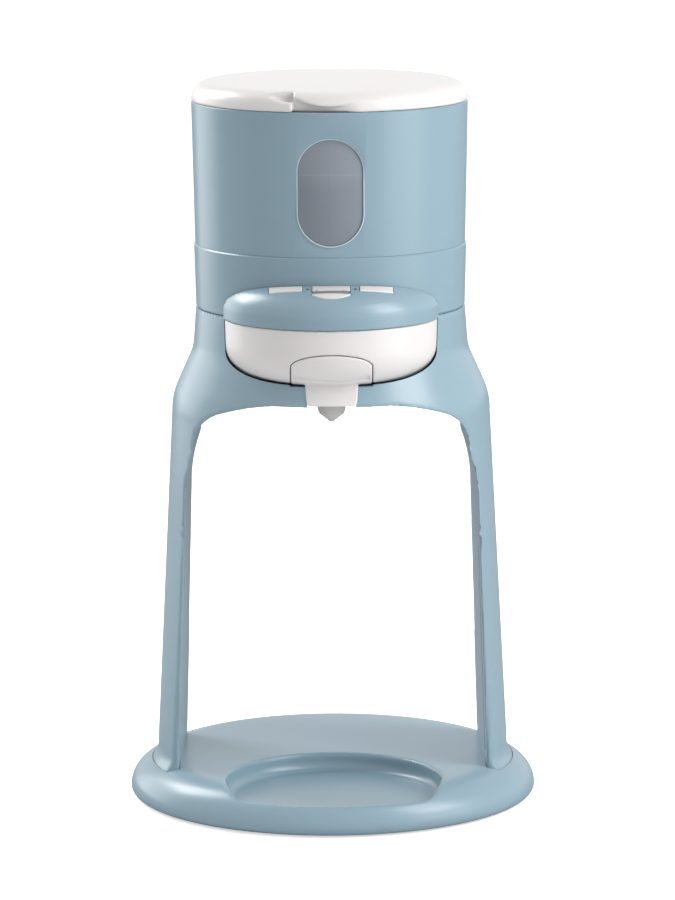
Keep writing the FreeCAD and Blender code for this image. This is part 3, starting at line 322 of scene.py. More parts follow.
def settle(piece: Object, form: Form, rounds: int = 5) -> None:
    """Move every vertex of a piece onto the surface of a form.

    Args:
        piece: the rough piece, near the form all over.
        form: gives the distance of places from the surface.
        rounds: how often the step towards the surface is taken.
    """
    flat = np.empty(len(piece.data.vertices) * 3)
    piece.data.vertices.foreach_get("co", flat)
    places = flat.reshape(-1, 3).T / MM
    reach = 0.02
    for _ in range(rounds):
        here = form(*places)
        slopes = []
        for axis in range(3):
            shift = np.zeros((3, 1))
            shift[axis] = reach
            slopes.append((form(*(places + shift)) - form(*(places - shift))) / (2.0 * reach))
        slope = np.array(slopes)
        steep = np.maximum((slope ** 2).sum(axis=0), 0.25)
        places = places - np.clip(here, -3.0, 3.0) * slope / steep
    piece.data.vertices.foreach_set("co", (places.T * MM).ravel())
    piece.data.update()


def refine(piece: Object, voxel: float, form: Form) -> None:
    """Give a rough piece an even skin, settle it on its form and shade it smooth.

    Args:
        piece: the rough piece.
        voxel: the size of the even faces, in millimetres.
        form: gives the distance of places from the surface.
    """
    apply_modifier(piece, "REMESH", mode="VOXEL", voxel_size=voxel * MM, adaptivity=0.0)
    settle(piece, form)
    apply_modifier(piece, "SMOOTH", factor=0.3, iterations=1)
    settle(piece, form, rounds=3)
    pick(piece)
    bpy.ops.object.shade_smooth()


def soften(piece: Object, width: float, segments: int = 2, angle: float = 40.0) -> None:
    """Bevel a piece's sharp edges and shade it by angle.

    Args:
        piece: the piece.
        width: the width of the bevel, in millimetres.
        segments: its number of steps.
        angle: the angle above which an edge counts as sharp, in degrees.
    """
    apply_modifier(piece, "BEVEL", width=width * MM, segments=segments, limit_method="ANGLE",
                   angle_limit=math.radians(angle), use_clamp_overlap=True)
    shade(piece, angle)


def shade(piece: Object, angle: float = 35.0) -> None:
    """Shade a piece smooth, with edges above an angle left sharp."""
    pick(piece)
    bpy.ops.object.shade_smooth_by_angle(angle=math.radians(angle))


def hand_over(piece: Object, finish: "Finish", body: str, slot: str, *nodes: str) -> None:
    """Dress a finished piece, tie it to its body and hide the CAD nodes that it stands for.

    Args:
        piece: the piece.
        finish: its surface.
        body: the moving body that it rides on.
        slot: the material slot; not used.
        nodes: the CAD nodes that it stands for.
    """
    piece.data.materials.clear()
    piece.data.materials.append(finish.material())
    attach(piece, body)
    if nodes:
        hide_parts(*nodes)
    LOG.info("%s: %d faces", piece.name, len(piece.data.polygons))


# Finishes


def socket(nodes: bpy.types.NodeTree, kind: str, name: str, way: str, value: float | None = None) -> None:
    """Add a named socket to a node group.

    Args:
        nodes: the group.
        kind: the type of the socket.
        name: its name.
        way: INPUT or OUTPUT.
        value: the default of an input.
    """
    item = nodes.interface.new_socket(name=name, in_out=way, socket_type=kind)
    if value is not None:
        item.default_value = value


def texture(nodes: bpy.types.NodeTree, source: bpy.types.NodeSocket, scale: bpy.types.NodeSocket | float,
            detail: float, stretch: Sequence[float] = (1.0, 1.0, 1.0)) -> bpy.types.NodeSocket:
    """Add a noise texture on stretched coordinates and give its value.

    Args:
        nodes: the tree to add it to.
        source: the coordinates.
        scale: the scale, as a number or a socket.
        detail: the number of octaves.
        stretch: the scale of each coordinate.

    Returns:
        The socket of the value.
    """
    mapping = nodes.nodes.new("ShaderNodeMapping")
    mapping.inputs["Scale"].default_value = stretch
    nodes.links.new(source, mapping.inputs["Vector"])
    noise = nodes.nodes.new("ShaderNodeTexNoise")
    noise.inputs["Detail"].default_value = detail
    nodes.links.new(mapping.outputs["Vector"], noise.inputs["Vector"])
    if isinstance(scale, float):
        noise.inputs["Scale"].default_value = scale
    else:
        nodes.links.new(scale, noise.inputs["Scale"])
    return noise.outputs["Fac"]


def ranged(nodes: bpy.types.NodeTree, value: bpy.types.NodeSocket, source: Sequence[float],
           result: Sequence[float]) -> bpy.types.NodeSocket:
    """Map a value from one range to another, clamped.

    Args:
        nodes: the tree to add the node to.
        value: the value.
        source: the range that it comes from.
        result: the range that it goes to.

    Returns:
        The socket of the new value.
    """
    node = nodes.nodes.new("ShaderNodeMapRange")
    node.inputs["From Min"].default_value, node.inputs["From Max"].default_value = source
    node.inputs["To Min"].default_value, node.inputs["To Max"].default_value = result
    nodes.links.new(value, node.inputs["Value"])
    return node.outputs["Result"]


def combined(nodes: bpy.types.NodeTree, how: str, first: bpy.types.NodeSocket,
             second: bpy.types.NodeSocket | float) -> bpy.types.NodeSocket:
    """Combine two values by a maths node.

    Args:
        nodes: the tree to add the node to.
        how: the operation.
        first: the first value.
        second: the second, as a number or a socket.

    Returns:
        The socket of the result.
    """
    node = nodes.nodes.new("ShaderNodeMath")
    node.operation = how
    nodes.links.new(first, node.inputs[0])
    if isinstance(second, float):
        node.inputs[1].default_value = second
    else:
        nodes.links.new(second, node.inputs[1])
    return node.outputs["Value"]


class Grain(Enum):
    """How a surface's fine relief runs."""

    EVEN = (1.0, 1.0, 1.0)
    BRUSHED = (30.0, 30.0, 1.0)
    FLOWED = (1.0, 1.0, 0.25)


def grain_group(grain: Grain) -> bpy.types.NodeTree:
    """Build, once, the group that gives fine relief, slow tone changes and rubbed places.

    Args:
        grain: how the relief runs.

    Returns:
        The group, with inputs Vector, Fine and Broad, and outputs Relief, Tone and Rubbed.
    """
    name = f"surface_{grain.name.lower()}"
    if name in bpy.data.node_groups:
        return bpy.data.node_groups[name]
    group = bpy.data.node_groups.new(name, "ShaderNodeTree")
    socket(group, "NodeSocketVector", "Vector", "INPUT")
    socket(group, "NodeSocketFloat", "Fine", "INPUT", 2500.0)
    socket(group, "NodeSocketFloat", "Broad", "INPUT", 30.0)
    for output in ("Relief", "Tone", "Rubbed"):
        socket(group, "NodeSocketFloat", output, "OUTPUT")
    source = group.nodes.new("NodeGroupInput")
    target = group.nodes.new("NodeGroupOutput")
    vector = source.outputs["Vector"]
    fine = texture(group, vector, source.outputs["Fine"], 3.0, grain.value)
    coarse_scale = combined(group, "MULTIPLY", source.outputs["Fine"], 0.22)
    coarse = texture(group, vector, coarse_scale, 2.0, grain.value)
    relief = combined(group, "ADD", combined(group, "MULTIPLY", fine, 0.6),
                      combined(group, "MULTIPLY", coarse, 0.4))
    tone = texture(group, vector, source.outputs["Broad"], 4.0)
    streak_scale = combined(group, "MULTIPLY", source.outputs["Broad"], 6.0)
    streaks = texture(group, vector, streak_scale, 5.0, (1.0, 1.0, 7.0))
    rubbed = combined(group, "MULTIPLY", ranged(group, streaks, (0.55, 0.75), (0.0, 1.0)),
                      ranged(group, tone, (0.45, 0.65), (0.0, 1.0)))
    group.links.new(relief, target.inputs["Relief"])
    group.links.new(ranged(group, tone, (0.3, 0.7), (0.0, 1.0)), target.inputs["Tone"])
    group.links.new(rubbed, target.inputs["Rubbed"])
    return group


@dataclass(frozen=True)
class Finish:
    """A moulded, drawn or cast surface with its grain, tone changes and light wear."""

    name: str
    colour: tuple[float, float, float]
    shade: float = 0.94
    rough: tuple[float, float] = (0.32, 0.4)
    metallic: float = 0.0
    grain: Grain = Grain.EVEN
    fine: float = 2500.0
    broad: float = 30.0
    relief: float = 0.02
    depth: float = 0.02
    coat: float = 0.0
    glass: float = 0.0
    bleed: float = 0.0
    wear: float = 0.03

    def material(self) -> bpy.types.Material:
        """Build the material once and give it.

        Returns:
            The material.
        """
        if self.name in bpy.data.materials:
            return bpy.data.materials[self.name]
        material = bpy.data.materials.new(self.name)
        material.use_nodes = True
        nodes = material.node_tree
        shader = nodes.nodes["Principled BSDF"]
        surface = nodes.nodes.new("ShaderNodeGroup")
        surface.node_tree = grain_group(self.grain)
        surface.inputs["Fine"].default_value = self.fine
        surface.inputs["Broad"].default_value = self.broad
        place = nodes.nodes.new("ShaderNodeTexCoord")
        nodes.links.new(place.outputs["Object"], surface.inputs["Vector"])
        colour = nodes.nodes.new("ShaderNodeMix")
        colour.data_type = "RGBA"
        colour.inputs["A"].default_value = (*[part * self.shade for part in self.colour], 1.0)
        colour.inputs["B"].default_value = (*self.colour, 1.0)
        nodes.links.new(surface.outputs["Tone"], colour.inputs["Factor"])
        nodes.links.new(self.marked(nodes, colour.outputs["Result"]), shader.inputs["Base Color"])
        worn = combined(nodes, "ADD", ranged(nodes, surface.outputs["Tone"], (0.0, 1.0), self.rough),
                        combined(nodes, "MULTIPLY", surface.outputs["Rubbed"], -self.wear))
        nodes.links.new(worn, shader.inputs["Roughness"])
        bump = nodes.nodes.new("ShaderNodeBump")
        bump.inputs["Strength"].default_value = self.relief * 10.0
        bump.inputs["Distance"].default_value = self.depth * MM
        nodes.links.new(surface.outputs["Relief"], bump.inputs["Height"])
        nodes.links.new(bump.outputs["Normal"], shader.inputs["Normal"])
        shader.inputs["Metallic"].default_value = self.metallic
        shader.inputs["Coat Weight"].default_value = self.coat
        shader.inputs["Coat Roughness"].default_value = 0.08
        shader.inputs["Transmission Weight"].default_value = self.glass
        shader.inputs["Subsurface Weight"].default_value = self.bleed
        shader.inputs["Subsurface Scale"].default_value = 2.0 * MM
        return material

    def marked(self, nodes: bpy.types.NodeTree, colour: bpy.types.NodeSocket) -> bpy.types.NodeSocket:
        """Give the colour as it is; finishes with drawn marks add them here."""
        return colour


@dataclass(frozen=True)
class LevelMarked(Finish):
    """A pane with a faint level line across it."""

    level: float = 338.0
    mark: float = 1.1

    def marked(self, nodes: bpy.types.NodeTree, colour: bpy.types.NodeSocket) -> bpy.types.NodeSocket:
        """Lighten the colour along the level line.

        Args:
            nodes: the material's nodes.
            colour: the plain colour.

        Returns:
            The socket of the marked colour.
        """
        place = nodes.nodes.new("ShaderNodeTexCoord")
        split = nodes.nodes.new("ShaderNodeSeparateXYZ")
        nodes.links.new(place.outputs["Object"], split.inputs["Vector"])
        above = combined(nodes, "SUBTRACT", split.outputs["Z"], self.level * MM)
        away = combined(nodes, "ABSOLUTE", above, 0.0)
        line = ranged(nodes, away, (0.15 * MM, 0.4 * MM), (1.0, 0.0))
        mix = nodes.nodes.new("ShaderNodeMix")
        mix.data_type = "RGBA"
        mix.inputs["B"].default_value = (*[part * self.mark for part in self.colour], 1.0)
        nodes.links.new(line, mix.inputs["Factor"])
        nodes.links.new(colour, mix.inputs["A"])
        return mix.outputs["Result"]


BLUE = Finish("blue_plastic", (0.222, 0.322, 0.382), shade=0.99, rough=(0.275, 0.295), relief=0.004,
              wear=0.006)
WHITE = Finish("white_plastic", (0.645, 0.627, 0.622), shade=0.99, rough=(0.29, 0.32), relief=0.006,
               coat=0.12, bleed=0.05, wear=0.01)
# The pale rim's colour is a painted highlight: a thin catch-light line round the window.
RIM_PAINTED_HIGHLIGHT = Finish("pale_rim_painted_highlight", (0.5, 0.6, 0.65), shade=0.98, rough=(0.3, 0.36))
PANE = LevelMarked("smoked_pane", (0.195, 0.222, 0.258), shade=0.98, rough=(0.14, 0.2), relief=0.006,
                   coat=0.2)
TIP = Finish("grey_silicone", (0.6, 0.6, 0.595), shade=0.9, rough=(0.5, 0.62), fine=1800.0, bleed=0.1)
LENS = Finish("light_lens", (0.02, 0.035, 0.045), shade=0.8, rough=(0.1, 0.16), coat=0.4)
RUBBER = Finish("black_rubber", (0.035, 0.035, 0.037), shade=0.8, rough=(0.6, 0.78), fine=1500.0, relief=0.05)
MILKY = Finish("milky_silicone", (0.66, 0.67, 0.64), shade=0.94, rough=(0.42, 0.5), bleed=0.15)
STEEL = Finish("zinc_steel", (0.56, 0.56, 0.55), shade=0.86, rough=(0.24, 0.38), metallic=1.0,
               grain=Grain.BRUSHED, fine=900.0, relief=0.03)
DARK = Finish("dark_plastic", (0.045, 0.052, 0.057), shade=0.85, rough=(0.5, 0.62), fine=1400.0, relief=0.06)
BOARD = Finish("board_lacquer", (0.02, 0.15, 0.06), shade=0.8, rough=(0.28, 0.4), broad=120.0, coat=0.2)
CAST = Finish("cast_aluminium", (0.62, 0.63, 0.64), shade=0.88, rough=(0.42, 0.55), metallic=1.0, fine=700.0,
              relief=0.06)
CLEAR = Finish("clear_plastic", (0.88, 0.92, 0.94), shade=0.99, rough=(0.04, 0.08), glass=0.92, relief=0.004)

SLOT_FINISH = {
    "blue_shell": BLUE,
    "white_shell": WHITE,
    "grey_silicone": TIP,
    "black_rubber": RUBBER,
    "pale_silicone": MILKY,
    "steel": STEEL,
    "dark_plastic": DARK,
    "board_green": BOARD,
    "heater_metal": CAST,
    "clear_plastic": CLEAR,
    "window_grey": PANE,
    "light_dark": LENS,
}


# Pieces


@dataclass
class Base:
    """The round base with its bottle recess."""

    radius: float = 107.5
    widest: float = 5.0
    top: float = 21.5
    edge: float = 21.5
    under: float = 1.0
    rim_radius: float = 102.0
    cover_top: float = 3.9
    recess_radius: float = 56.0
    recess_forward: float = 62.0
    recess_floor: float = 12.0
    recess_front: float = 101.6
    recess_round: float = 2.0
    cove: float = 5.0
    lip: float = 1.7
    rim_round: float = 0.3
    flange_radius: float = 96.2
    foot_inner: float = 80.6
    foot_front: float = 40.2
    foot_back: float = 47.2
    foot_level: float = 17.0
    voxel: float = 1.3
    clear: float = 8.0

    def profile(self) -> list[tuple[float, float]]:
        """Outline of the full base as (radius, level).

        Returns:
            The outline, from the middle of the underside to the middle of the top.
        """
        turn = self.widest - self.under
        low = trace([(0.0, self.under), (self.radius - turn, self.under), (self.radius, self.widest, turn)])
        shoulder = oval(self.radius, self.widest, self.edge, self.top - self.widest, 20)
        return low + shoulder[1:] + [(0.0, self.top)]

    def form(self, x: np.ndarray, y: np.ndarray, z: np.ndarray) -> np.ndarray:
        """Distance from the base's surface.

        Args:
            x: places across, in millimetres.
            y: places from front to back.
            z: levels of the places.

        Returns:
            The distances, below zero inside.
        """
        out = np.hypot(x, y)
        body = turned_distance(out, z, self.profile())
        well = np.hypot(x, y + self.recess_forward) - self.recess_radius
        plan = both(well, out - self.recess_front, self.recess_round)
        body = less(body, both(plan, self.recess_floor - z, self.cove), self.lip)
        return less(body, np.maximum(out - self.rim_radius, z - self.cover_top), self.rim_round)

    def foot_pocket(self, side: float) -> Object:
        """The pocket that one leg's foot stands in.

        Args:
            side: -1.0 for the left leg, 1.0 for the right one.

        Returns:
            The tool that cuts it.
        """
        front = -math.sqrt(self.flange_radius ** 2 - self.foot_front ** 2)
        back = -math.sqrt(self.flange_radius ** 2 - self.foot_back ** 2)
        middle = -self.flange_radius
        plan = [(-self.foot_inner, -self.foot_front), (-self.foot_inner, self.foot_back),
                (back, self.foot_back), (middle, 0.0, self.flange_radius),
                (front, -self.foot_front, self.flange_radius)]
        points = [(-side * u, v) for u, v in trace(plan, 2.0)]
        return prism("pocket", Plane.TOP, points, self.foot_level, self.top + 6.0)

    def build(self) -> Object:
        """Model the base: turned, hollowed, settled on its form and cut for the feet.

        Returns:
            The finished piece.
        """
        piece = spun("base", self.profile())
        well = spun("well", column(self.recess_radius, self.under - 3.0, self.top + 5.0), self.recess_forward)
        over = spun("over", column(self.recess_front, self.recess_floor, self.top + self.clear))
        carve(well, Cut.BOTH, over)
        rim = spun("rim", column(self.rim_radius, -2.0, self.cover_top))
        carve(piece, Cut.LESS, well, rim)
        refine(piece, self.voxel, self.form)
        carve(piece, Cut.LESS, self.foot_pocket(-1.0), self.foot_pocket(1.0))
        shade(piece, 40.0)
        return piece

    def dress(self) -> None:
        """Build the base and hand it over."""
        hand_over(self.build(), BLUE, "root", "blue_shell", "base_shell")


@dataclass
class Nose:
    """The shapes that the bowl, the hood, the buttons and the spout share."""

    forward: float = 32.6
    bowl_radius: float = 56.1
    bowl_bottom: float = 230.4
    bowl_top: float = 260.4
    bowl_round: float = 17.0
    opening_round: float = 13.6
    wall: float = 2.4
    hood_radius: float = 57.0
    hood_low: float = 260.7
    hood_side_top: float = 266.0
    hood_across: float = 24.0
    hood_rise: float = 15.8
    head_radius: float = 71.25
    cap_half: float = 20.7
    cap_gap: float = 0.38
    cap_spring: float = 241.2
    cap_rise: float = 6.4
    cap_back: float = 41.0

    def bowl_profile(self, grow: float, top: float, turn: float) -> list[tuple[float, float]]:
        """Outline of the bowl as (radius, level), grown by a gap, with the radius of its lower corner."""
        radius, low = self.bowl_radius + grow, self.bowl_bottom - grow
        return trace([(0.0, low), (radius - turn, low), (radius, low + turn, turn), (radius, top),
                      (0.0, top)])

    def bowl_form(self, x: np.ndarray, y: np.ndarray, z: np.ndarray, grow: float, top: float,
                  turn: float) -> np.ndarray:
        """Distance from the surface of the full bowl."""
        return turned_distance(np.hypot(x, y + self.forward), z, self.bowl_profile(grow, top, turn))

    def hood_profile(self, inset: float, low: float) -> list[tuple[float, float]]:
        """Outline of the hood as (radius, level), drawn in by an inset."""
        shoulder = oval(self.hood_radius - inset, self.hood_side_top, self.hood_across - inset * 0.5,
                        self.hood_rise - inset)
        return [(0.0, low), (self.hood_radius - inset, low)] + shoulder + [(0.0, shoulder[-1][1])]

    def hood_form(self, x: np.ndarray, y: np.ndarray, z: np.ndarray, inset: float, low: float) -> np.ndarray:
        """Distance from the surface of the full hood."""
        return turned_distance(np.hypot(x, y + self.forward), z, self.hood_profile(inset, low))

    def arch(self, grow: float, low: float) -> list[tuple[float, float]]:
        """Front outline of the spout cap and its opening.

        Args:
            grow: how much larger it is all round.
            low: the level where it starts.

        Returns:
            The outline as (x, level).
        """
        half = self.cap_half + grow
        right = oval(half, self.cap_spring, half, self.cap_rise + grow, 20)
        left = [(-u, v) for u, v in reversed(right[:-1])]
        return [(-half, low), (half, low)] + right + left


@dataclass
class Stand:
    """The stand: two legs, the arch and the ring that carries the head, with the room for the bowl."""

    nose: Nose = field(default_factory=Nose)
    top: float = 262.4
    top_radius: float = 70.55
    foot: float = 17.0
    flange_radius: float = 96.0
    flange_top: float = 19.5
    foot_radius: float = 92.8
    foot_turn: float = -14.0
    foot_top: float = 30.0
    front: float = 40.0
    back: float = 47.0
    portal_top: float = 219.6
    portal_foot: float = 80.9
    portal_high: float = 76.6
    base_top: float = 21.5
    leg_radius: float = 83.6
    leg_end: float = 209.0
    leg_bend: float = 3.0
    shoulder: tuple[float, float, float] = (80.6, 221.5, 36.0)
    neck: tuple[float, float] = (74.3, 235.5)
    collar: tuple[float, float, float] = (72.0, 243.0, -24.0)
    back_reach: float = 8.95
    back_drops: tuple[float, float, float] = (132.4, 81.4, 30.4)
    back_turn: float = 88.5
    front_reach: float = 17.5
    brow_drops: tuple[float, float, float] = (3.6, 13.6, 59.6)
    brow_deep: float = 20.0
    bend_in: float = 5.2
    bend_drop: float = 29.6
    corner_in: float = 15.4
    corner_drop: float = 5.9
    arch_in: float = 41.4
    portal_turns: tuple[float, float, float] = (80.0, 22.0, 92.0)
    cavity_radius: float = 66.0
    floor: float = 3.0
    bowl_gap: float = 0.35
    notch_half: float = 12.5
    notch_back: float = 48.0
    cap_gap: float = 0.6
    taper: float = 2.4
    taper_front: float = 30.0
    taper_run: float = 77.0
    side_round: float = 2.2
    portal_round: float = 1.4
    cavity_round: float = 0.6
    voxel: float = 1.45
    cover_front: float = -23.0
    cover_back: float = 40.0
    cover_low: float = 26.0
    cover_high: float = 158.0
    cover_thick: float = 2.0
    cover_proud: float = 0.2
    cover_corner: float = 3.0
    cover_edge: float = 0.35
    cover_voxel: float = 0.9

    def profile(self) -> list[tuple[float, float]]:
        """Outline of the stand as (radius, level).

        Returns:
            The outline, from the middle of the underside to the middle of the top.
        """
        slope = (self.foot_radius - self.leg_radius) / (self.leg_end - self.foot_top)
        leg_top = (self.leg_radius + slope * self.leg_bend, self.leg_end - self.leg_bend)
        return trace([(0.0, self.foot), (self.flange_radius, self.foot),
                      (self.flange_radius, self.flange_top),
                      (self.foot_radius, self.foot_top, self.foot_turn), leg_top, self.shoulder, self.neck,
                      self.collar, (self.top_radius, self.top), (0.0, self.top)])

    def side(self) -> list[tuple[float, float]]:
        """Outline that the stand keeps, seen from the side, as (y, level).

        Returns:
            The outline.
        """
        out = self.top_radius + self.back_reach
        middle = (self.back + out) / 2.0
        front = -self.top_radius - self.front_reach
        back_low, back_middle, back_high = (self.top - drop for drop in self.back_drops)
        brow_high, brow_low, leg_start = (self.portal_top - drop for drop in self.brow_drops)
        return trace([(-self.front, self.foot - 1.0), (self.back, self.foot - 1.0), (self.back, back_low),
                      (middle, back_middle, -self.back_turn), (out, back_high, self.back_turn),
                      (out, self.top + 1.0), (front, self.top + 1.0), (front, brow_high),
                      (-self.front - self.brow_deep, brow_low), (-self.front, leg_start)])

    def portal(self) -> list[tuple[float, float]]:
        """Front outline of the portal as (x, level).

        Returns:
            The outline.
        """
        low, high_level = self.foot - 5.0, self.portal_top - self.brow_drops[2]
        slope = (self.portal_foot - self.portal_high) / (high_level - self.base_top)
        corner = self.portal_high - self.bend_in
        side_turn, corner_turn, arch_turn = self.portal_turns
        right = [(self.portal_foot + slope * (self.base_top - low), low), (self.portal_high, high_level),
                 (corner, self.portal_top - self.bend_drop, side_turn),
                 (corner - self.corner_in, self.portal_top - self.corner_drop, corner_turn),
                 (corner - self.arch_in, self.portal_top, arch_turn)]
        turns = [arch_turn, corner_turn, side_turn, None]
        left = [(-right[4][0], right[4][1])]
        for (u, v, *_), turn in zip(reversed(right[:-1]), turns):
            left.append((-u, v) if turn is None else (-u, v, turn))
        return trace(right + left)

    def portal_form(self, x: np.ndarray, y: np.ndarray, z: np.ndarray) -> np.ndarray:
        """Distance outside the portal, whose walls come together towards the back."""
        drawn_in = np.clip((y + self.taper_front) / self.taper_run, 0.0, 1.3) * self.taper
        return flat_distance(np.sign(x) * (np.abs(x) + drawn_in), z, self.portal())

    def form(self, x: np.ndarray, y: np.ndarray, z: np.ndarray) -> np.ndarray:
        """Distance from the stand's surface.

        Args:
            x: places across, in millimetres.
            y: places from front to back.
            z: levels of the places.

        Returns:
            The distances, below zero inside.
        """
        out = np.hypot(x, y)
        body = turned_distance(out, z, self.profile())
        body = both(body, flat_distance(y, z, self.side()), self.side_round)
        body = less(body, self.portal_form(x, y, z), self.portal_round)
        room = np.maximum(out - self.cavity_radius, self.portal_top + self.floor - z)
        return less(body, room, self.cavity_round)

    def build(self) -> Object:
        """Model the stand: turned, cut to its side view, opened and settled on its form.

        Returns:
            The finished piece.
        """
        width = self.flange_radius + 12.0
        piece = spun("stand", self.profile())
        carve(piece, Cut.BOTH, prism("side", Plane.SIDE, self.side(), -width, width))
        bottom = self.nose.bowl_bottom
        cavity = spun("cavity", column(self.cavity_radius, self.portal_top + self.floor, self.top + 4.0))
        side, cap_side = self.notch_half, self.nose.cap_half + self.cap_gap
        carve(piece, Cut.LESS, prism("portal", Plane.FRONT, self.portal(), -width, width), cavity)
        refine(piece, self.voxel, self.form)
        room = self.nose.bowl_profile(self.bowl_gap, self.top + 4.0, self.nose.opening_round)
        carve(piece, Cut.LESS, spun("room", room, self.nose.forward),
              slab("boss", (-side, -width, self.portal_top - 4.0), (side, -self.notch_back, bottom + 1.0)),
              slab("cap", (-cap_side, -width, bottom - 0.7),
                   (cap_side, self.cap_gap - self.nose.cap_back, bottom + 2.0)))
        shade(piece, 40.0)
        return piece

    def leg_cover(self, side: float) -> Object:
        """Model the plate that closes the inside of one leg.

        Args:
            side: -1.0 for the left leg, 1.0 for the right one.

        Returns:
            The finished piece.
        """
        front, back, low, high = self.cover_front, self.cover_back, self.cover_low, self.cover_high

        def plate(x: np.ndarray, y: np.ndarray, z: np.ndarray) -> np.ndarray:
            """Distance from the plate's surface.

            Args:
                x: places across, in millimetres.
                y: places from front to back.
                z: levels of the places.

            Returns:
                The distances, below zero inside.
            """
            wall = self.portal_form(x, y, z)
            shell = np.maximum(-wall - self.cover_proud, wall - self.cover_thick)
            edge = both(box_form(y, front, back), box_form(z, low, high), self.cover_corner)
            return both(both(shell, edge, self.cover_edge), -side * x, 0.1)

        wall_low, wall_high = self.portal_foot - 3.0, self.portal_foot + self.cover_thick
        ends = sorted((side * wall_low, side * wall_high))
        name = "leg_cover_left" if side < 0 else "leg_cover_right"
        piece = slab(name + "_plate", (ends[0], front, low), (ends[1], back, high))
        refine(piece, self.cover_voxel, plate)
        return piece

    def dress(self) -> None:
        """Build the stand and its leg covers and hand them over."""
        hand_over(self.build(), BLUE, "root", "blue_shell", "stand_shell")
        for side, node in ((-1.0, "leg_cover_left"), (1.0, "leg_cover_right")):
            hand_over(self.leg_cover(side), BLUE, "root", "blue_shell", node)


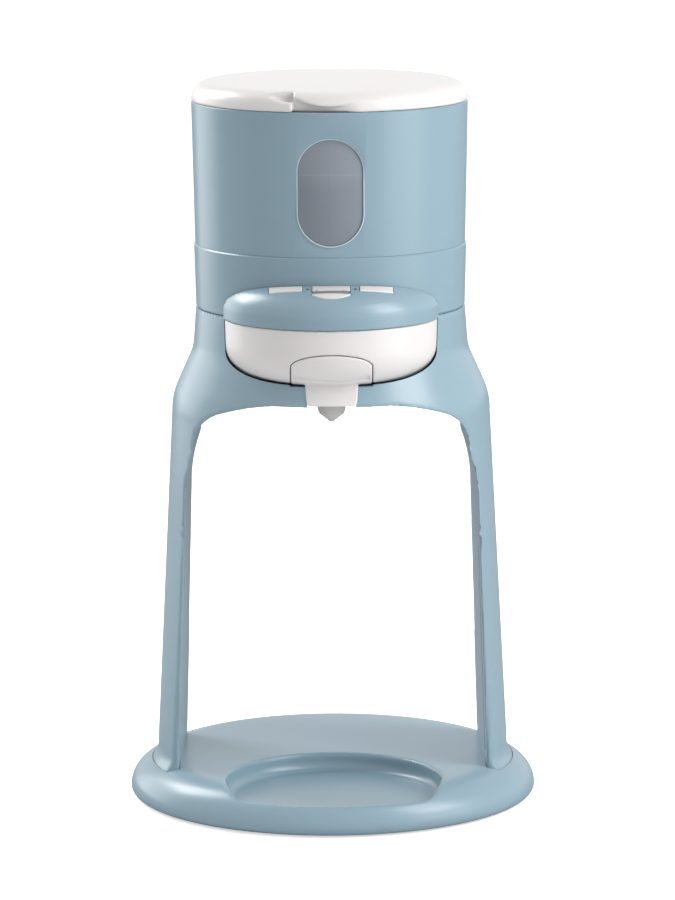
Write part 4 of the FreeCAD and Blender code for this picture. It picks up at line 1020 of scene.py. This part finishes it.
@dataclass
class Front:
    """The white bowl, the blue hood and the four buttons."""

    nose: Nose = field(default_factory=Nose)
    gap: float = 0.3
    less_inner: float = 14.7
    less_outer: float = 31.8
    back_radius: float = 72.6
    front_radius: float = 77.6
    start_half: float = 9.6
    start_front: float = 79.4
    start_lean: float = 0.75
    warm_back: float = 80.3
    warm_front: float = 83.7
    warm_half: float = 10.2
    proud: float = 0.4
    start_lift: float = 1.7
    stem_radius: float = 1.6
    stem_low: float = 273.95
    stem_high: float = 278.0
    cap_top: float = 286.0
    eye_across: float = 12.15
    eye_forward: float = 74.6
    eye_radius: float = 1.0
    eye_floor: float = 268.0
    way_gap: float = 0.6
    bowl_voxel: float = 0.9
    hood_voxel: float = 0.62
    button_voxel: float = 0.32

    def bowl(self) -> Object:
        """Model the bowl, open where the spout cap slides in.

        Returns:
            The finished piece.
        """
        nose = self.nose
        inner = trace([(0.0, nose.bowl_bottom + nose.wall),
                       (nose.bowl_radius - nose.bowl_round, nose.bowl_bottom + nose.wall),
                       (nose.bowl_radius - nose.wall, nose.bowl_bottom + nose.bowl_round,
                        nose.bowl_round - nose.wall),
                       (nose.bowl_radius - nose.wall, nose.bowl_top + 5.0), (0.0, nose.bowl_top + 5.0)])
        opening = nose.arch(nose.cap_gap, nose.bowl_bottom - 2.0)

        def form(x: np.ndarray, y: np.ndarray, z: np.ndarray) -> np.ndarray:
            """Distance from the bowl's surface.

            Args:
                x: places across, in millimetres.
                y: places from front to back.
                z: levels of the places.

            Returns:
                The distances, below zero inside.
            """
            out = np.hypot(x, y + nose.forward)
            body = nose.bowl_form(x, y, z, 0.0, nose.bowl_top, nose.bowl_round)
            hollow = turned_distance(out, z, inner)
            way = np.maximum(flat_distance(x, z, opening), y + nose.cap_back - self.way_gap)
            return less(less(body, hollow, 0.5), way, 0.35)

        piece = spun("bowl", nose.bowl_profile(0.0, nose.bowl_top, nose.bowl_round), nose.forward)
        carve(piece, Cut.LESS, spun("inner", inner, nose.forward),
              prism("way", Plane.FRONT, opening, AHEAD, self.way_gap - nose.cap_back))
        refine(piece, self.bowl_voxel, form)
        return piece

    def plans(self, grow: float) -> dict[str, list[tuple[float, float]]]:
        """Plan outlines of the four buttons as (x, y), grown all round by a gap.

        Args:
            grow: the gap.

        Returns:
            The outlines by the names of the buttons.
        """
        back, front = self.back_radius - grow, self.front_radius + grow
        near, far = self.less_inner - grow, self.less_outer + grow

        def strip(x0: float, x1: float, inner: float, outer: float) -> list[tuple[float, float]]:
            """Outline of a strip between two circles about the middle of the head.

            Args:
                x0: its left side.
                x1: its right side.
                inner: the radius of the inner circle.
                outer: the radius of the outer circle.

            Returns:
                The outline.
            """
            start = -math.sqrt(inner ** 2 - x0 ** 2)
            return trace([(x0, start), (x0, -math.sqrt(outer ** 2 - x0 ** 2)),
                          (x1, -math.sqrt(outer ** 2 - x1 ** 2), outer),
                          (x1, -math.sqrt(inner ** 2 - x1 ** 2)), (x0, start, -inner)], 1.0)[1:]

        rise = self.warm_front - self.warm_back
        radius = (self.warm_half ** 2 + rise ** 2) / (2.0 * rise) + grow
        centre = -(self.warm_front + grow - radius)
        edge = -self.warm_back + grow
        half = math.sqrt(radius ** 2 - (edge - centre) ** 2)
        warm = trace([(half, edge), (-half, edge), (0.0, centre - radius, radius),
                      (half, edge, radius)], 4.0)[1:]
        start = self.start_half + grow
        return {
            "button_less": strip(-far, -near, back, front),
            "button_more": strip(near, far, back, front),
            "button_start": strip(-start, start, back, self.start_front + grow),
            "button_warm": warm,
        }

    def hood(self) -> Object:
        """Model the hood with its slots for the buttons and the lights.

        Returns:
            The finished piece.
        """
        nose = self.nose

        def form(x: np.ndarray, y: np.ndarray, z: np.ndarray) -> np.ndarray:
            """Distance from the hood's surface.

            Args:
                x: places across, in millimetres.
                y: places from front to back.
                z: levels of the places.

            Returns:
                The distances, below zero inside.
            """
            body = nose.hood_form(x, y, z, 0.0, nose.hood_low)
            shell = less(body, nose.hood_form(x, y, z, nose.wall, nose.hood_low - 3.0), 0.3)
            return less(shell, np.hypot(x, y) - nose.head_radius, 0.35)

        piece = spun("hood", nose.hood_profile(0.0, nose.hood_low), nose.forward)
        core = spun("core", nose.hood_profile(nose.wall, nose.hood_low - 3.0), nose.forward)
        carve(piece, Cut.LESS, core, spun("head_room", column(nose.head_radius, 250.0, ABOVE)))
        refine(piece, self.hood_voxel, form)
        slots = [prism(name + "_slot", Plane.TOP, plan, nose.hood_low, ABOVE)
                 for name, plan in self.plans(self.gap).items()]
        eyes = []
        for side in (-1.0, 1.0):
            eye = spun("eye", column(self.eye_radius, self.eye_floor, ABOVE), steps=24)
            eye.data.transform(Matrix.Translation((side * self.eye_across * MM, -self.eye_forward * MM, 0.0)))
            eyes.append(eye)
        carve(piece, Cut.LESS, *slots, *eyes)
        shade(piece, 40.0)
        return piece

    def button(self, name: str) -> Object:
        """Model one button: a thin cap that follows the hood, with its stem.

        Args:
            name: the button's CAD node.

        Returns:
            The finished piece.
        """
        nose = self.nose
        plan = self.plans(0.0)[name]
        middle = [sum(part) / len(plan) for part in zip(*plan)]
        lift = self.start_lift if name == "button_start" else 0.0

        def raised(x: np.ndarray, y: np.ndarray) -> np.ndarray:
            """How far the cap stands above the hood at each place."""
            ahead = np.clip((-y - self.back_radius) / (self.start_front - self.back_radius), 0.0, 1.2)
            return self.proud + lift * ahead ** 2

        def form(x: np.ndarray, y: np.ndarray, z: np.ndarray) -> np.ndarray:
            """Distance from the button's surface.

            Args:
                x: places across, in millimetres.
                y: places from front to back.
                z: levels of the places.

            Returns:
                The distances, below zero inside.
            """
            level = z - raised(x, y)
            skin = nose.hood_form(x, y, level, 0.0, nose.hood_low - 5.0)
            core = nose.hood_form(x, y, level, nose.wall + 0.6, nose.hood_low - 9.0)
            lean = self.start_lean * np.clip(-skin, 0.0, 2.0) * (y < middle[1]) * (lift > 0.0)
            cap = both(less(skin, core, 0.2), flat_distance(x, y - lean, plan), 0.35)
            stem = np.hypot(x - middle[0], y - middle[1]) - self.stem_radius
            stem = np.maximum(np.maximum(stem, self.stem_low - z), skin + 1.0)
            return joined(cap, stem, 0.2)

        piece = prism(name + "_cap", Plane.TOP, plan, nose.hood_low, self.cap_top)
        top = spun("skin", nose.hood_profile(0.0, nose.hood_low - 5.0), nose.forward)
        top.data.transform(Matrix.Translation((0.0, 0.0, self.proud * MM)))
        core = spun("core", nose.hood_profile(nose.wall + 0.6, nose.hood_low - 9.0), nose.forward)
        carve(piece, Cut.BOTH, top)
        carve(piece, Cut.LESS, core)
        stem = spun("stem", column(self.stem_radius, self.stem_low, self.stem_high), steps=32)
        stem.data.transform(Matrix.Translation((middle[0] * MM, middle[1] * MM, 0.0)))
        carve(piece, Cut.WITH, stem)
        refine(piece, self.button_voxel, form)
        return piece

    def dress(self) -> None:
        """Build the front and hand it over."""
        hand_over(self.bowl(), WHITE, "root", "white_shell", "nose_cover")
        hand_over(self.hood(), BLUE, "root", "blue_shell", "control_hood")
        bodies = {"button_less": "less_button", "button_more": "more_button", "button_start": "start_button",
                  "button_warm": "warm_button"}
        for node, body in bodies.items():
            hand_over(self.button(node), WHITE, body, "white_shell", node)


@dataclass
class Spout:
    """The cap that pulls out of the bowl, with its boss, funnel and soft tip."""

    nose: Nose = field(default_factory=Nose)
    stand: Stand = field(default_factory=Stand)
    forward: float = 62.0
    boss_half: float = 12.2
    plate_half: float = 13.65
    plate_taper: float = 0.08
    plate_proud: float = 0.85
    boss_low: float = 220.5
    boss_round: float = 2.2
    visor_half: float = 19.3
    visor_level: float = 234.1
    visor_rise: float = 2.2
    visor_radius: float = 80.4
    funnel_radius: float = 8.0
    funnel_floor: float = 224.7
    tip_radius: float = 7.2
    tip_body: float = 6.2
    tip_bore: float = 0.8
    tip_shoulder: float = 216.4
    tip_cone: float = 213.9
    tip_end: float = 209.8
    tip_flange: float = 7.8
    rib: float = 0.14
    ribs: int = 5
    skin_gap: float = 0.25
    cap_round: float = 0.7
    visor_round: float = 0.9
    plate_round: float = 0.5
    boss_fillet: float = 0.6
    limit_gap: float = 0.4
    seat_gap: float = 0.1
    voxel: float = 0.5

    def boss_front(self, half: float) -> list[tuple[float, float]]:
        """Front outline of the boss or of its face plate."""
        turn, high, low = half - self.boss_round, self.nose.bowl_bottom + 3.0, self.boss_low
        return trace([(-turn, low, self.boss_round), (turn, low),
                      (half, low + self.boss_round, self.boss_round), (half, high), (-half, high),
                      (-half, low + self.boss_round)], 15.0)

    def form(self, x: np.ndarray, y: np.ndarray, z: np.ndarray) -> np.ndarray:
        """Distance from the surface of the cap.

        Args:
            x: places across, in millimetres.
            y: places from front to back.
            z: levels of the places.

        Returns:
            The distances, below zero inside.
        """
        nose = self.nose
        out, away = np.hypot(x, y), np.hypot(x, y + self.forward)
        face = nose.bowl_form(x, y, z, self.skin_gap, nose.bowl_top, nose.bowl_round)
        arch = flat_distance(x, z, nose.arch(0.0, nose.bowl_bottom - self.skin_gap))
        cap = both(face, np.maximum(arch, y + nose.cap_back), self.cap_round)
        level = self.visor_level + self.visor_rise * (x / self.visor_half) ** 4
        visor = np.maximum(np.maximum(np.abs(x) - self.visor_half, z - level), self.visor_radius - out)
        cap = less(cap, visor, self.visor_round)
        limit = turned_distance(out, z, self.stand.profile())
        plan = np.where(y > -self.forward, away - self.boss_half, np.abs(x) - self.boss_half)
        boss = np.maximum(np.maximum(plan, flat_distance(x, z, self.boss_front(self.boss_half))),
                          limit - self.limit_gap)
        drawn_in = np.sign(x) * (nose.bowl_bottom - z) * self.plate_taper
        plate = both(flat_distance(x + drawn_in, z, self.boss_front(self.plate_half)),
                     np.maximum(limit - self.plate_proud, np.maximum(0.08 - limit, y + self.forward)),
                     self.plate_round)
        body = joined(cap, np.minimum(boss, plate), self.boss_fillet)
        funnel = np.maximum(away - self.funnel_radius, self.funnel_floor - z)
        seat = np.maximum(away - self.tip_radius - self.seat_gap, z - self.funnel_floor - 0.5)
        return less(body, np.minimum(funnel, seat), 0.3)

    def cap(self) -> Object:
        """Model the cap with its boss and the plate on the boss's front.

        Returns:
            The finished piece.
        """
        nose = self.nose
        low = nose.bowl_bottom - self.skin_gap
        face = nose.bowl_profile(self.skin_gap, nose.bowl_top, nose.bowl_round)
        piece = spun("spout_cap_skin", face, nose.forward)
        carve(piece, Cut.BOTH, prism("arch", Plane.FRONT, nose.arch(0.0, low), AHEAD, -nose.cap_back))
        boss = prism("boss", Plane.FRONT, self.boss_front(self.boss_half), AHEAD,
                     self.boss_half - self.forward)
        carve(boss, Cut.BOTH, spun("limit", self.stand.profile()))
        plate = prism("plate", Plane.FRONT, self.boss_front(self.plate_half), AHEAD, -self.forward)
        skin = [(radius + self.plate_proud if radius else 0.0, level)
                for radius, level in self.stand.profile()]
        carve(plate, Cut.BOTH, spun("skin", skin))
        carve(plate, Cut.LESS, spun("limit", self.stand.profile()))
        carve(piece, Cut.WITH, boss, plate)
        funnel = spun("funnel", column(self.funnel_radius, self.funnel_floor, 270.0), self.forward)
        seat = spun("seat", column(self.tip_radius + self.seat_gap, 210.0, 226.0), self.forward)
        carve(piece, Cut.LESS, funnel, seat)
        refine(piece, self.voxel, self.form)
        piece.name = piece.data.name = "spout_cap_body"
        return piece

    def tip(self) -> Object:
        """Model the soft tip with its fine ribs.

        Returns:
            The finished piece.
        """
        bore, rest = self.tip_body - 1.2, self.funnel_floor + 0.05
        outside = [(self.tip_bore + 0.15, self.tip_end), (self.tip_body, self.tip_cone)]
        pitch = (self.tip_shoulder - self.tip_cone) / self.ribs
        for index in range(self.ribs):
            level = self.tip_cone + pitch * (index + 0.5)
            radius = self.tip_body + (self.tip_radius - self.tip_body) * (index + 0.5) / self.ribs
            outside += [(radius + self.rib, level), (radius + self.rib * 0.2, level + pitch * 0.5)]
        outside += [(self.tip_radius, self.tip_shoulder + 0.4), (self.tip_radius, rest),
                    (self.tip_flange, rest), (self.tip_flange, rest + 1.0), (bore, rest + 1.0),
                    (bore, self.tip_shoulder), (self.tip_bore, self.tip_end + 3.0),
                    (self.tip_bore, self.tip_end)]
        piece = spun("spout_tip_body", outside, self.forward, closed=True, steps=72)
        soften(piece, 0.12, 2, 50.0)
        return piece

    def dress(self) -> None:
        """Build the spout and hand it over."""
        hand_over(self.cap(), WHITE, "spout", "white_shell", "spout_cap")
        hand_over(self.tip(), TIP, "spout", "grey_silicone", "spout_tip")


@dataclass
class Head:
    """The blue ring of the head."""

    low: float = 262.4
    low_radius: float = 70.55
    high: float = 295.4
    high_radius: float = 71.35
    bore: float = 68.2
    seam: float = 0.5
    ledge_top: float = 288.0
    bevel: float = 0.7
    window_half: float = 46.0
    window_high: float = 274.8
    gland_level: float = 276.0
    gland_radius: float = 5.05
    seam_deep: float = 0.6
    seam_lip: float = 0.2
    ledge_deep: float = 2.0
    ledge_thick: float = 1.6

    def housing(self) -> Object:
        """Model the ring with its seam, its ledge, the window behind the hood and the gland's hole.

        Returns:
            The finished piece.
        """
        inner, groove = self.bore - self.ledge_deep, self.low_radius - self.seam_deep
        profile = [(self.bore, self.low), (groove, self.low), (groove, self.low + self.seam),
                   (self.low_radius - self.seam_lip, self.low + self.seam),
                   (self.low_radius, self.low + self.seam + self.seam_lip)]
        profile += [(self.high_radius, self.high - self.bevel), (self.high_radius - self.bevel, self.high),
                    (self.bore, self.high), (self.bore, self.ledge_top), (inner, self.ledge_top),
                    (inner, self.ledge_top - self.ledge_thick),
                    (self.bore, self.ledge_top - self.ledge_thick)]
        piece = spun("head_ring", profile, closed=True, steps=288)
        gland = spun("gland_hole", column(self.gland_radius, 60.0, 80.0), steps=48)
        gland.data.transform(Matrix.Translation((0.0, 0.0, self.gland_level * MM)) @ Matrix.Rotation(
            -math.pi / 2.0, 4, "X"))
        carve(piece, Cut.LESS, slab("window", (-self.window_half, -90.0, self.low - 1.0),
                                    (self.window_half, -30.0, self.window_high)), gland)
        shade(piece, 30.0)
        return piece

    def dress(self) -> None:
        """Build the head ring and hand it over."""
        hand_over(self.housing(), BLUE, "root", "blue_shell", "head_housing")


@dataclass
class Tank:
    """The lift-off tank's outer sleeve and its level window."""

    low: float = 295.48
    low_radius: float = 70.75
    rim: float = 369.9
    rim_radius: float = 72.2
    bore: float = 68.6
    rebate_radius: float = 70.7
    rebate_low: float = 366.9
    pane_half: float = 17.3
    pane_low: float = 300.9
    pane_high: float = 356.6
    pane_inner: float = 68.5
    pane_outer: float = 70.75
    rim_wide: float = 0.5
    rim_outer: float = 71.5
    rim_set_in: float = 0.3
    play: float = 0.02
    window_back: float = -34.0

    def stadium(self, grow: float) -> list[tuple[float, float]]:
        """Front outline of the window as (x, level), grown by a gap.

        Args:
            grow: the gap, below zero to draw the outline in.

        Returns:
            The outline.
        """
        half = self.pane_half + grow
        low, high = self.pane_low + self.pane_half, self.pane_high - self.pane_half
        return trace([(half, low), (half, high), (0.0, high + half, half), (-half, high, half), (-half, low),
                      (0.0, low - half, half), (half, low, half)], 4.0)[1:]

    def sleeve(self) -> Object:
        """Model the sleeve with the window's opening.

        Returns:
            The finished piece.
        """
        profile = [(self.bore, self.low), (self.low_radius - 0.1, self.low),
                   (self.low_radius, self.low + 0.1), (self.rim_radius, self.rim - 0.5),
                   (self.rim_radius - 0.5, self.rim),
                   (self.rebate_radius, self.rim), (self.rebate_radius, self.rebate_low),
                   (self.bore, self.rebate_low)]
        piece = spun("sleeve", profile, closed=True, steps=288)
        carve(piece, Cut.LESS, self.window_tool(0.0))
        soften(piece, 0.45, 2, 50.0)
        shade(piece, 30.0)
        return piece

    def window_tool(self, grow: float) -> Object:
        """Block in the shape of the window, grown by a gap, that reaches through the sleeve's front."""
        return prism("window_shape", Plane.FRONT, self.stadium(grow), -90.0, self.window_back)

    def ring(self, name: str, inner: float, outer: float) -> Object:
        """Turn a ring about the tank's axis that stands higher and lower than the window.

        Args:
            name: the name of the new object.
            inner: its inner radius.
            outer: its outer radius.

        Returns:
            The new object.
        """
        middle = (self.pane_low + self.pane_high) / 2.0
        low, high = middle - 40.0, middle + 40.0
        return spun(name, [(inner, low), (outer, low), (outer, high), (inner, high)], closed=True, steps=360)

    def pane(self) -> Object:
        """Model the window pane, curved with the sleeve and rounded at its edge.

        Returns:
            The finished piece.
        """
        piece = self.ring("pane", self.pane_inner, self.pane_outer)
        carve(piece, Cut.BOTH, self.window_tool(-self.rim_wide - self.play))
        soften(piece, 0.25, 2, 50.0)
        return piece

    def rim_line(self) -> Object:
        """Model the thin pale rim that frames the pane; its pale colour is a painted highlight, standing in
        for light caught on the edge of the window's opening.

        Returns:
            The finished piece.
        """
        piece = self.ring("pane_rim", self.pane_inner + self.rim_set_in, self.rim_outer)
        carve(piece, Cut.BOTH, self.window_tool(-self.play))
        carve(piece, Cut.LESS, self.window_tool(-self.rim_wide))
        soften(piece, 0.12, 2, 50.0)
        return piece

    def dress(self) -> None:
        """Build the sleeve, the pane and its rim and hand them over."""
        hand_over(self.sleeve(), BLUE, "tank", "blue_shell", "tank_sleeve")
        # The rim's pale finish is a painted highlight round the window.
        hand_over(self.rim_line(), RIM_PAINTED_HIGHLIGHT, "tank", "window_grey")
        hand_over(self.pane(), PANE, "tank", "window_grey", "window_pane")


@dataclass
class Lid:
    """The white lid with its finger grip and plug."""

    radius: float = 72.2
    under: float = 370.1
    edge: float = 371.2
    edge_across: float = 9.8
    top_edge: float = 380.2
    crown: float = 380.8
    plate: float = 2.6
    land: float = 57.4
    plug_radius: float = 66.0
    plug_wall: float = 2.2
    plug_depth: float = 8.0
    grip_back: float = 61.2
    grip_step: float = 18.6
    grip_reach: float = 35.0
    grip_depth: float = 5.4
    scoop_round: float = 1.0
    lip_round: float = 0.9
    voxel: float = 0.95

    def profile(self) -> list[tuple[float, float]]:
        """Outline of the lid as (radius, level).

        Returns:
            The outline, from the middle of the underside to the crown.
        """
        plug_inner, plug_low = self.plug_radius - self.plug_wall, self.under - self.plug_depth
        shoulder = oval(self.radius, self.edge, self.edge_across, self.top_edge - self.edge)
        return [(0.0, self.crown - self.plate), (self.land, self.top_edge - self.plate),
                (self.land, self.under),
                (plug_inner, self.under), (plug_inner, plug_low), (self.plug_radius, plug_low),
                (self.plug_radius, self.under), (self.radius, self.under)] + shoulder + [(0.0, self.crown)]

    def scoop(self) -> list[tuple[float, float]]:
        """Front outline of the scoop beside the grip's step."""
        low, above = self.top_edge - self.grip_depth, self.crown + 5.0
        return trace([(-self.grip_step, low), (-self.grip_step, above), (-self.grip_reach, above),
                      (-self.grip_reach, self.top_edge + 0.5), (-self.grip_step - 3.0, low, 22.0)])

    def lip(self) -> list[tuple[float, float]]:
        """Front outline of the hollow under the grip's lip."""
        return trace([(-self.grip_step - 0.6, self.under - 1.0), (18.0, self.under - 1.0),
                      (15.0, self.under + 6.2), (-self.grip_step - 0.6, self.under + 7.4, -39.0)])

    def lip_zone(self) -> list[tuple[float, float]]:
        """Plan outline of the hollow under the lip as (x, y)."""
        left = -self.grip_step - 0.7
        return [(left, -self.grip_back - 5.0), (left, AHEAD), (19.0, AHEAD), (19.0, -self.radius + 0.4)]

    def form(self, x: np.ndarray, y: np.ndarray, z: np.ndarray) -> np.ndarray:
        """Distance from the lid's surface.

        Args:
            x: places across, in millimetres.
            y: places from front to back.
            z: levels of the places.

        Returns:
            The distances, below zero inside.
        """
        body = turned_distance(np.hypot(x, y), z, self.profile())
        scoop = np.maximum(flat_distance(x, z, self.scoop()), y + self.grip_back)
        lip = np.maximum(flat_distance(x, z, self.lip()), flat_distance(x, y, self.lip_zone()))
        return less(less(body, scoop, self.scoop_round), lip, self.lip_round)

    def build(self) -> Object:
        """Model the lid: turned, cut for the grip and settled on its form.

        Returns:
            The finished piece.
        """
        piece = spun("lid_body", self.profile())
        scoop = prism("scoop", Plane.FRONT, self.scoop(), AHEAD, -self.grip_back)
        lip = prism("lip", Plane.FRONT, self.lip(), AHEAD, 0.0)
        carve(lip, Cut.BOTH, prism("lip_zone", Plane.TOP, self.lip_zone(), 360.0, 390.0))
        carve(piece, Cut.LESS, scoop, lip)
        refine(piece, self.voxel, self.form)
        piece.name = piece.data.name = "lid_shell"
        return piece

    def dress(self) -> None:
        """Build the lid and hand it over."""
        hand_over(self.build(), WHITE, "lid_body", "white_shell", "lid")


def dress_nodes() -> None:
    """Give every CAD node that stays in view the finish of its material slot."""
    slots = {part["node"]: part["material_slot"] for part in frame["record"]["subparts"]}
    for name, node in frame["nodes"].items():
        if node.hide_render:
            continue
        finish = SLOT_FINISH[slots[name]].material()
        node.data.materials.clear()
        node.data.materials.append(finish)
        LOG.info("%s: dressed", name)


# Studio


@dataclass(frozen=True)
class Softbox:
    """A soft light that faces the object.

    The azimuth is taken from the front, to the right above zero; distances and sizes are in metres.
    """

    name: str
    azimuth: float
    elevation: float
    distance: float
    wide: float
    high: float
    watts: float

    def build(self, target: Vector) -> None:
        """Set up the light.

        Args:
            target: the place that it faces.
        """
        turn, tilt = math.radians(self.azimuth), math.radians(self.elevation)
        way = Vector((math.sin(turn) * math.cos(tilt), -math.cos(turn) * math.cos(tilt), math.sin(tilt)))
        light = bpy.data.lights.new(self.name, "AREA")
        light.shape, light.size, light.size_y, light.energy = "RECTANGLE", self.wide, self.high, self.watts
        lamp = bpy.data.objects.new(self.name, light)
        bpy.context.scene.collection.objects.link(lamp)
        lamp.location = target + way * self.distance
        lamp.rotation_euler = (-way).to_track_quat("-Z", "Y").to_euler()


@dataclass
class Studio:
    """Floor, world, lights and camera."""

    target: Vector = field(default_factory=lambda: Vector((0.0, 0.0, 0.19)))
    boxes: tuple[Softbox, ...] = (
        Softbox("left_key", -126.0, 39.0, 1.2, 0.45, 0.5, 6.5),
        Softbox("left_side", -127.0, 14.0, 1.5, 1.0, 1.5, 9.0),
        Softbox("right_key", 66.0, 38.0, 1.3, 0.6, 0.8, 8.5),
        Softbox("right_side", 64.0, 14.0, 1.5, 1.0, 1.3, 8.8),
    )
    ambient: float = 0.72
    gloss: float = 0.9
    floor_bright: float = 0.86
    floor_mirrored: float = 0.25
    floor_glow: float = 0.6
    camera_place: tuple[float, float, float] = (-11.9, -2524.8, 616.7)
    pitch: float = 9.722
    roll: float = -0.288
    yaw: float = -0.269
    lens: float = 193.96
    shift: float = 0.0071

    def floor(self) -> None:
        """Lay the pale floor, white to the camera but for the object's shadow."""
        deselect()
        bpy.ops.mesh.primitive_plane_add(size=14.0)
        plane = bpy.context.object
        plane.name = plane.data.name = "floor"
        material = bpy.data.materials.new("pale_floor")
        material.use_nodes = True
        nodes = material.node_tree
        shader = nodes.nodes["Principled BSDF"]
        shader.inputs["Roughness"].default_value = 0.9
        path = nodes.nodes.new("ShaderNodeLightPath")
        tone = nodes.nodes.new("ShaderNodeMix")
        tone.data_type = "RGBA"
        tone.inputs["A"].default_value = (*[self.floor_bright] * 3, 1.0)
        tone.inputs["B"].default_value = (*[self.floor_mirrored] * 3, 1.0)
        nodes.links.new(path.outputs["Is Glossy Ray"], tone.inputs["Factor"])
        nodes.links.new(tone.outputs["Result"], shader.inputs["Base Color"])
        glow = combined(nodes, "MULTIPLY", path.outputs["Is Camera Ray"], self.floor_glow)
        shader.inputs["Emission Color"].default_value = (1.0, 1.0, 1.0, 1.0)
        nodes.links.new(glow, shader.inputs["Emission Strength"])
        plane.data.materials.append(material)

    def world(self) -> None:
        """Light all round evenly, with white behind the object."""
        world = bpy.data.worlds.new("studio")
        world.use_nodes = True
        bpy.context.scene.world = world
        nodes = world.node_tree
        background = nodes.nodes["Background"]
        path = nodes.nodes.new("ShaderNodeLightPath")
        mirrored = combined(nodes, "MULTIPLY", path.outputs["Is Glossy Ray"], self.gloss)
        seen = combined(nodes, "MAXIMUM", path.outputs["Is Camera Ray"],
                        combined(nodes, "MAXIMUM", mirrored, path.outputs["Is Transmission Ray"]))
        strength = combined(nodes, "MAXIMUM", seen, self.ambient)
        nodes.links.new(strength, background.inputs["Strength"])
        background.inputs["Color"].default_value = (1.0, 1.0, 1.0, 1.0)

    def camera(self) -> None:
        """Set up the camera that the photograph was fitted with."""
        pitch, roll, yaw = (math.radians(angle) for angle in (self.pitch, self.roll, self.yaw))
        flat = Vector((-math.sin(yaw), math.cos(yaw), 0.0))
        right = Vector((math.cos(yaw), math.sin(yaw), 0.0))
        ahead = flat * math.cos(pitch) + Vector((0.0, 0.0, -math.sin(pitch)))
        above = flat * math.sin(pitch) + Vector((0.0, 0.0, math.cos(pitch)))
        across = right * math.cos(roll) + above * math.sin(roll)
        upward = above * math.cos(roll) - right * math.sin(roll)
        lens = bpy.data.cameras.new("photo_camera")
        lens.lens, lens.sensor_width, lens.shift_x = self.lens, 36.0, self.shift
        camera = bpy.data.objects.new("photo_camera", lens)
        camera.matrix_world = Matrix.Translation(Vector(self.camera_place) * MM) @ Matrix(
            (across, upward, -ahead)).transposed().to_4x4()
        bpy.context.scene.collection.objects.link(camera)
        bpy.context.scene.camera = camera

    def build(self) -> None:
        """Set up the whole studio."""
        self.floor()
        self.world()
        for box in self.boxes:
            box.build(self.target)
        self.camera()
        bpy.context.scene.view_settings.view_transform = "Standard"


def main() -> None:
    """Build every piece, dress the CAD nodes that stay and set up the studio."""
    logging.basicConfig(level=logging.INFO, format="%(message)s")
    for assembly in (Base(), Stand(), Front(), Spout(), Head(), Tank(), Lid()):
        assembly.dress()
    dress_nodes()
    Studio().build()


if __name__ == "__main__":
    main()
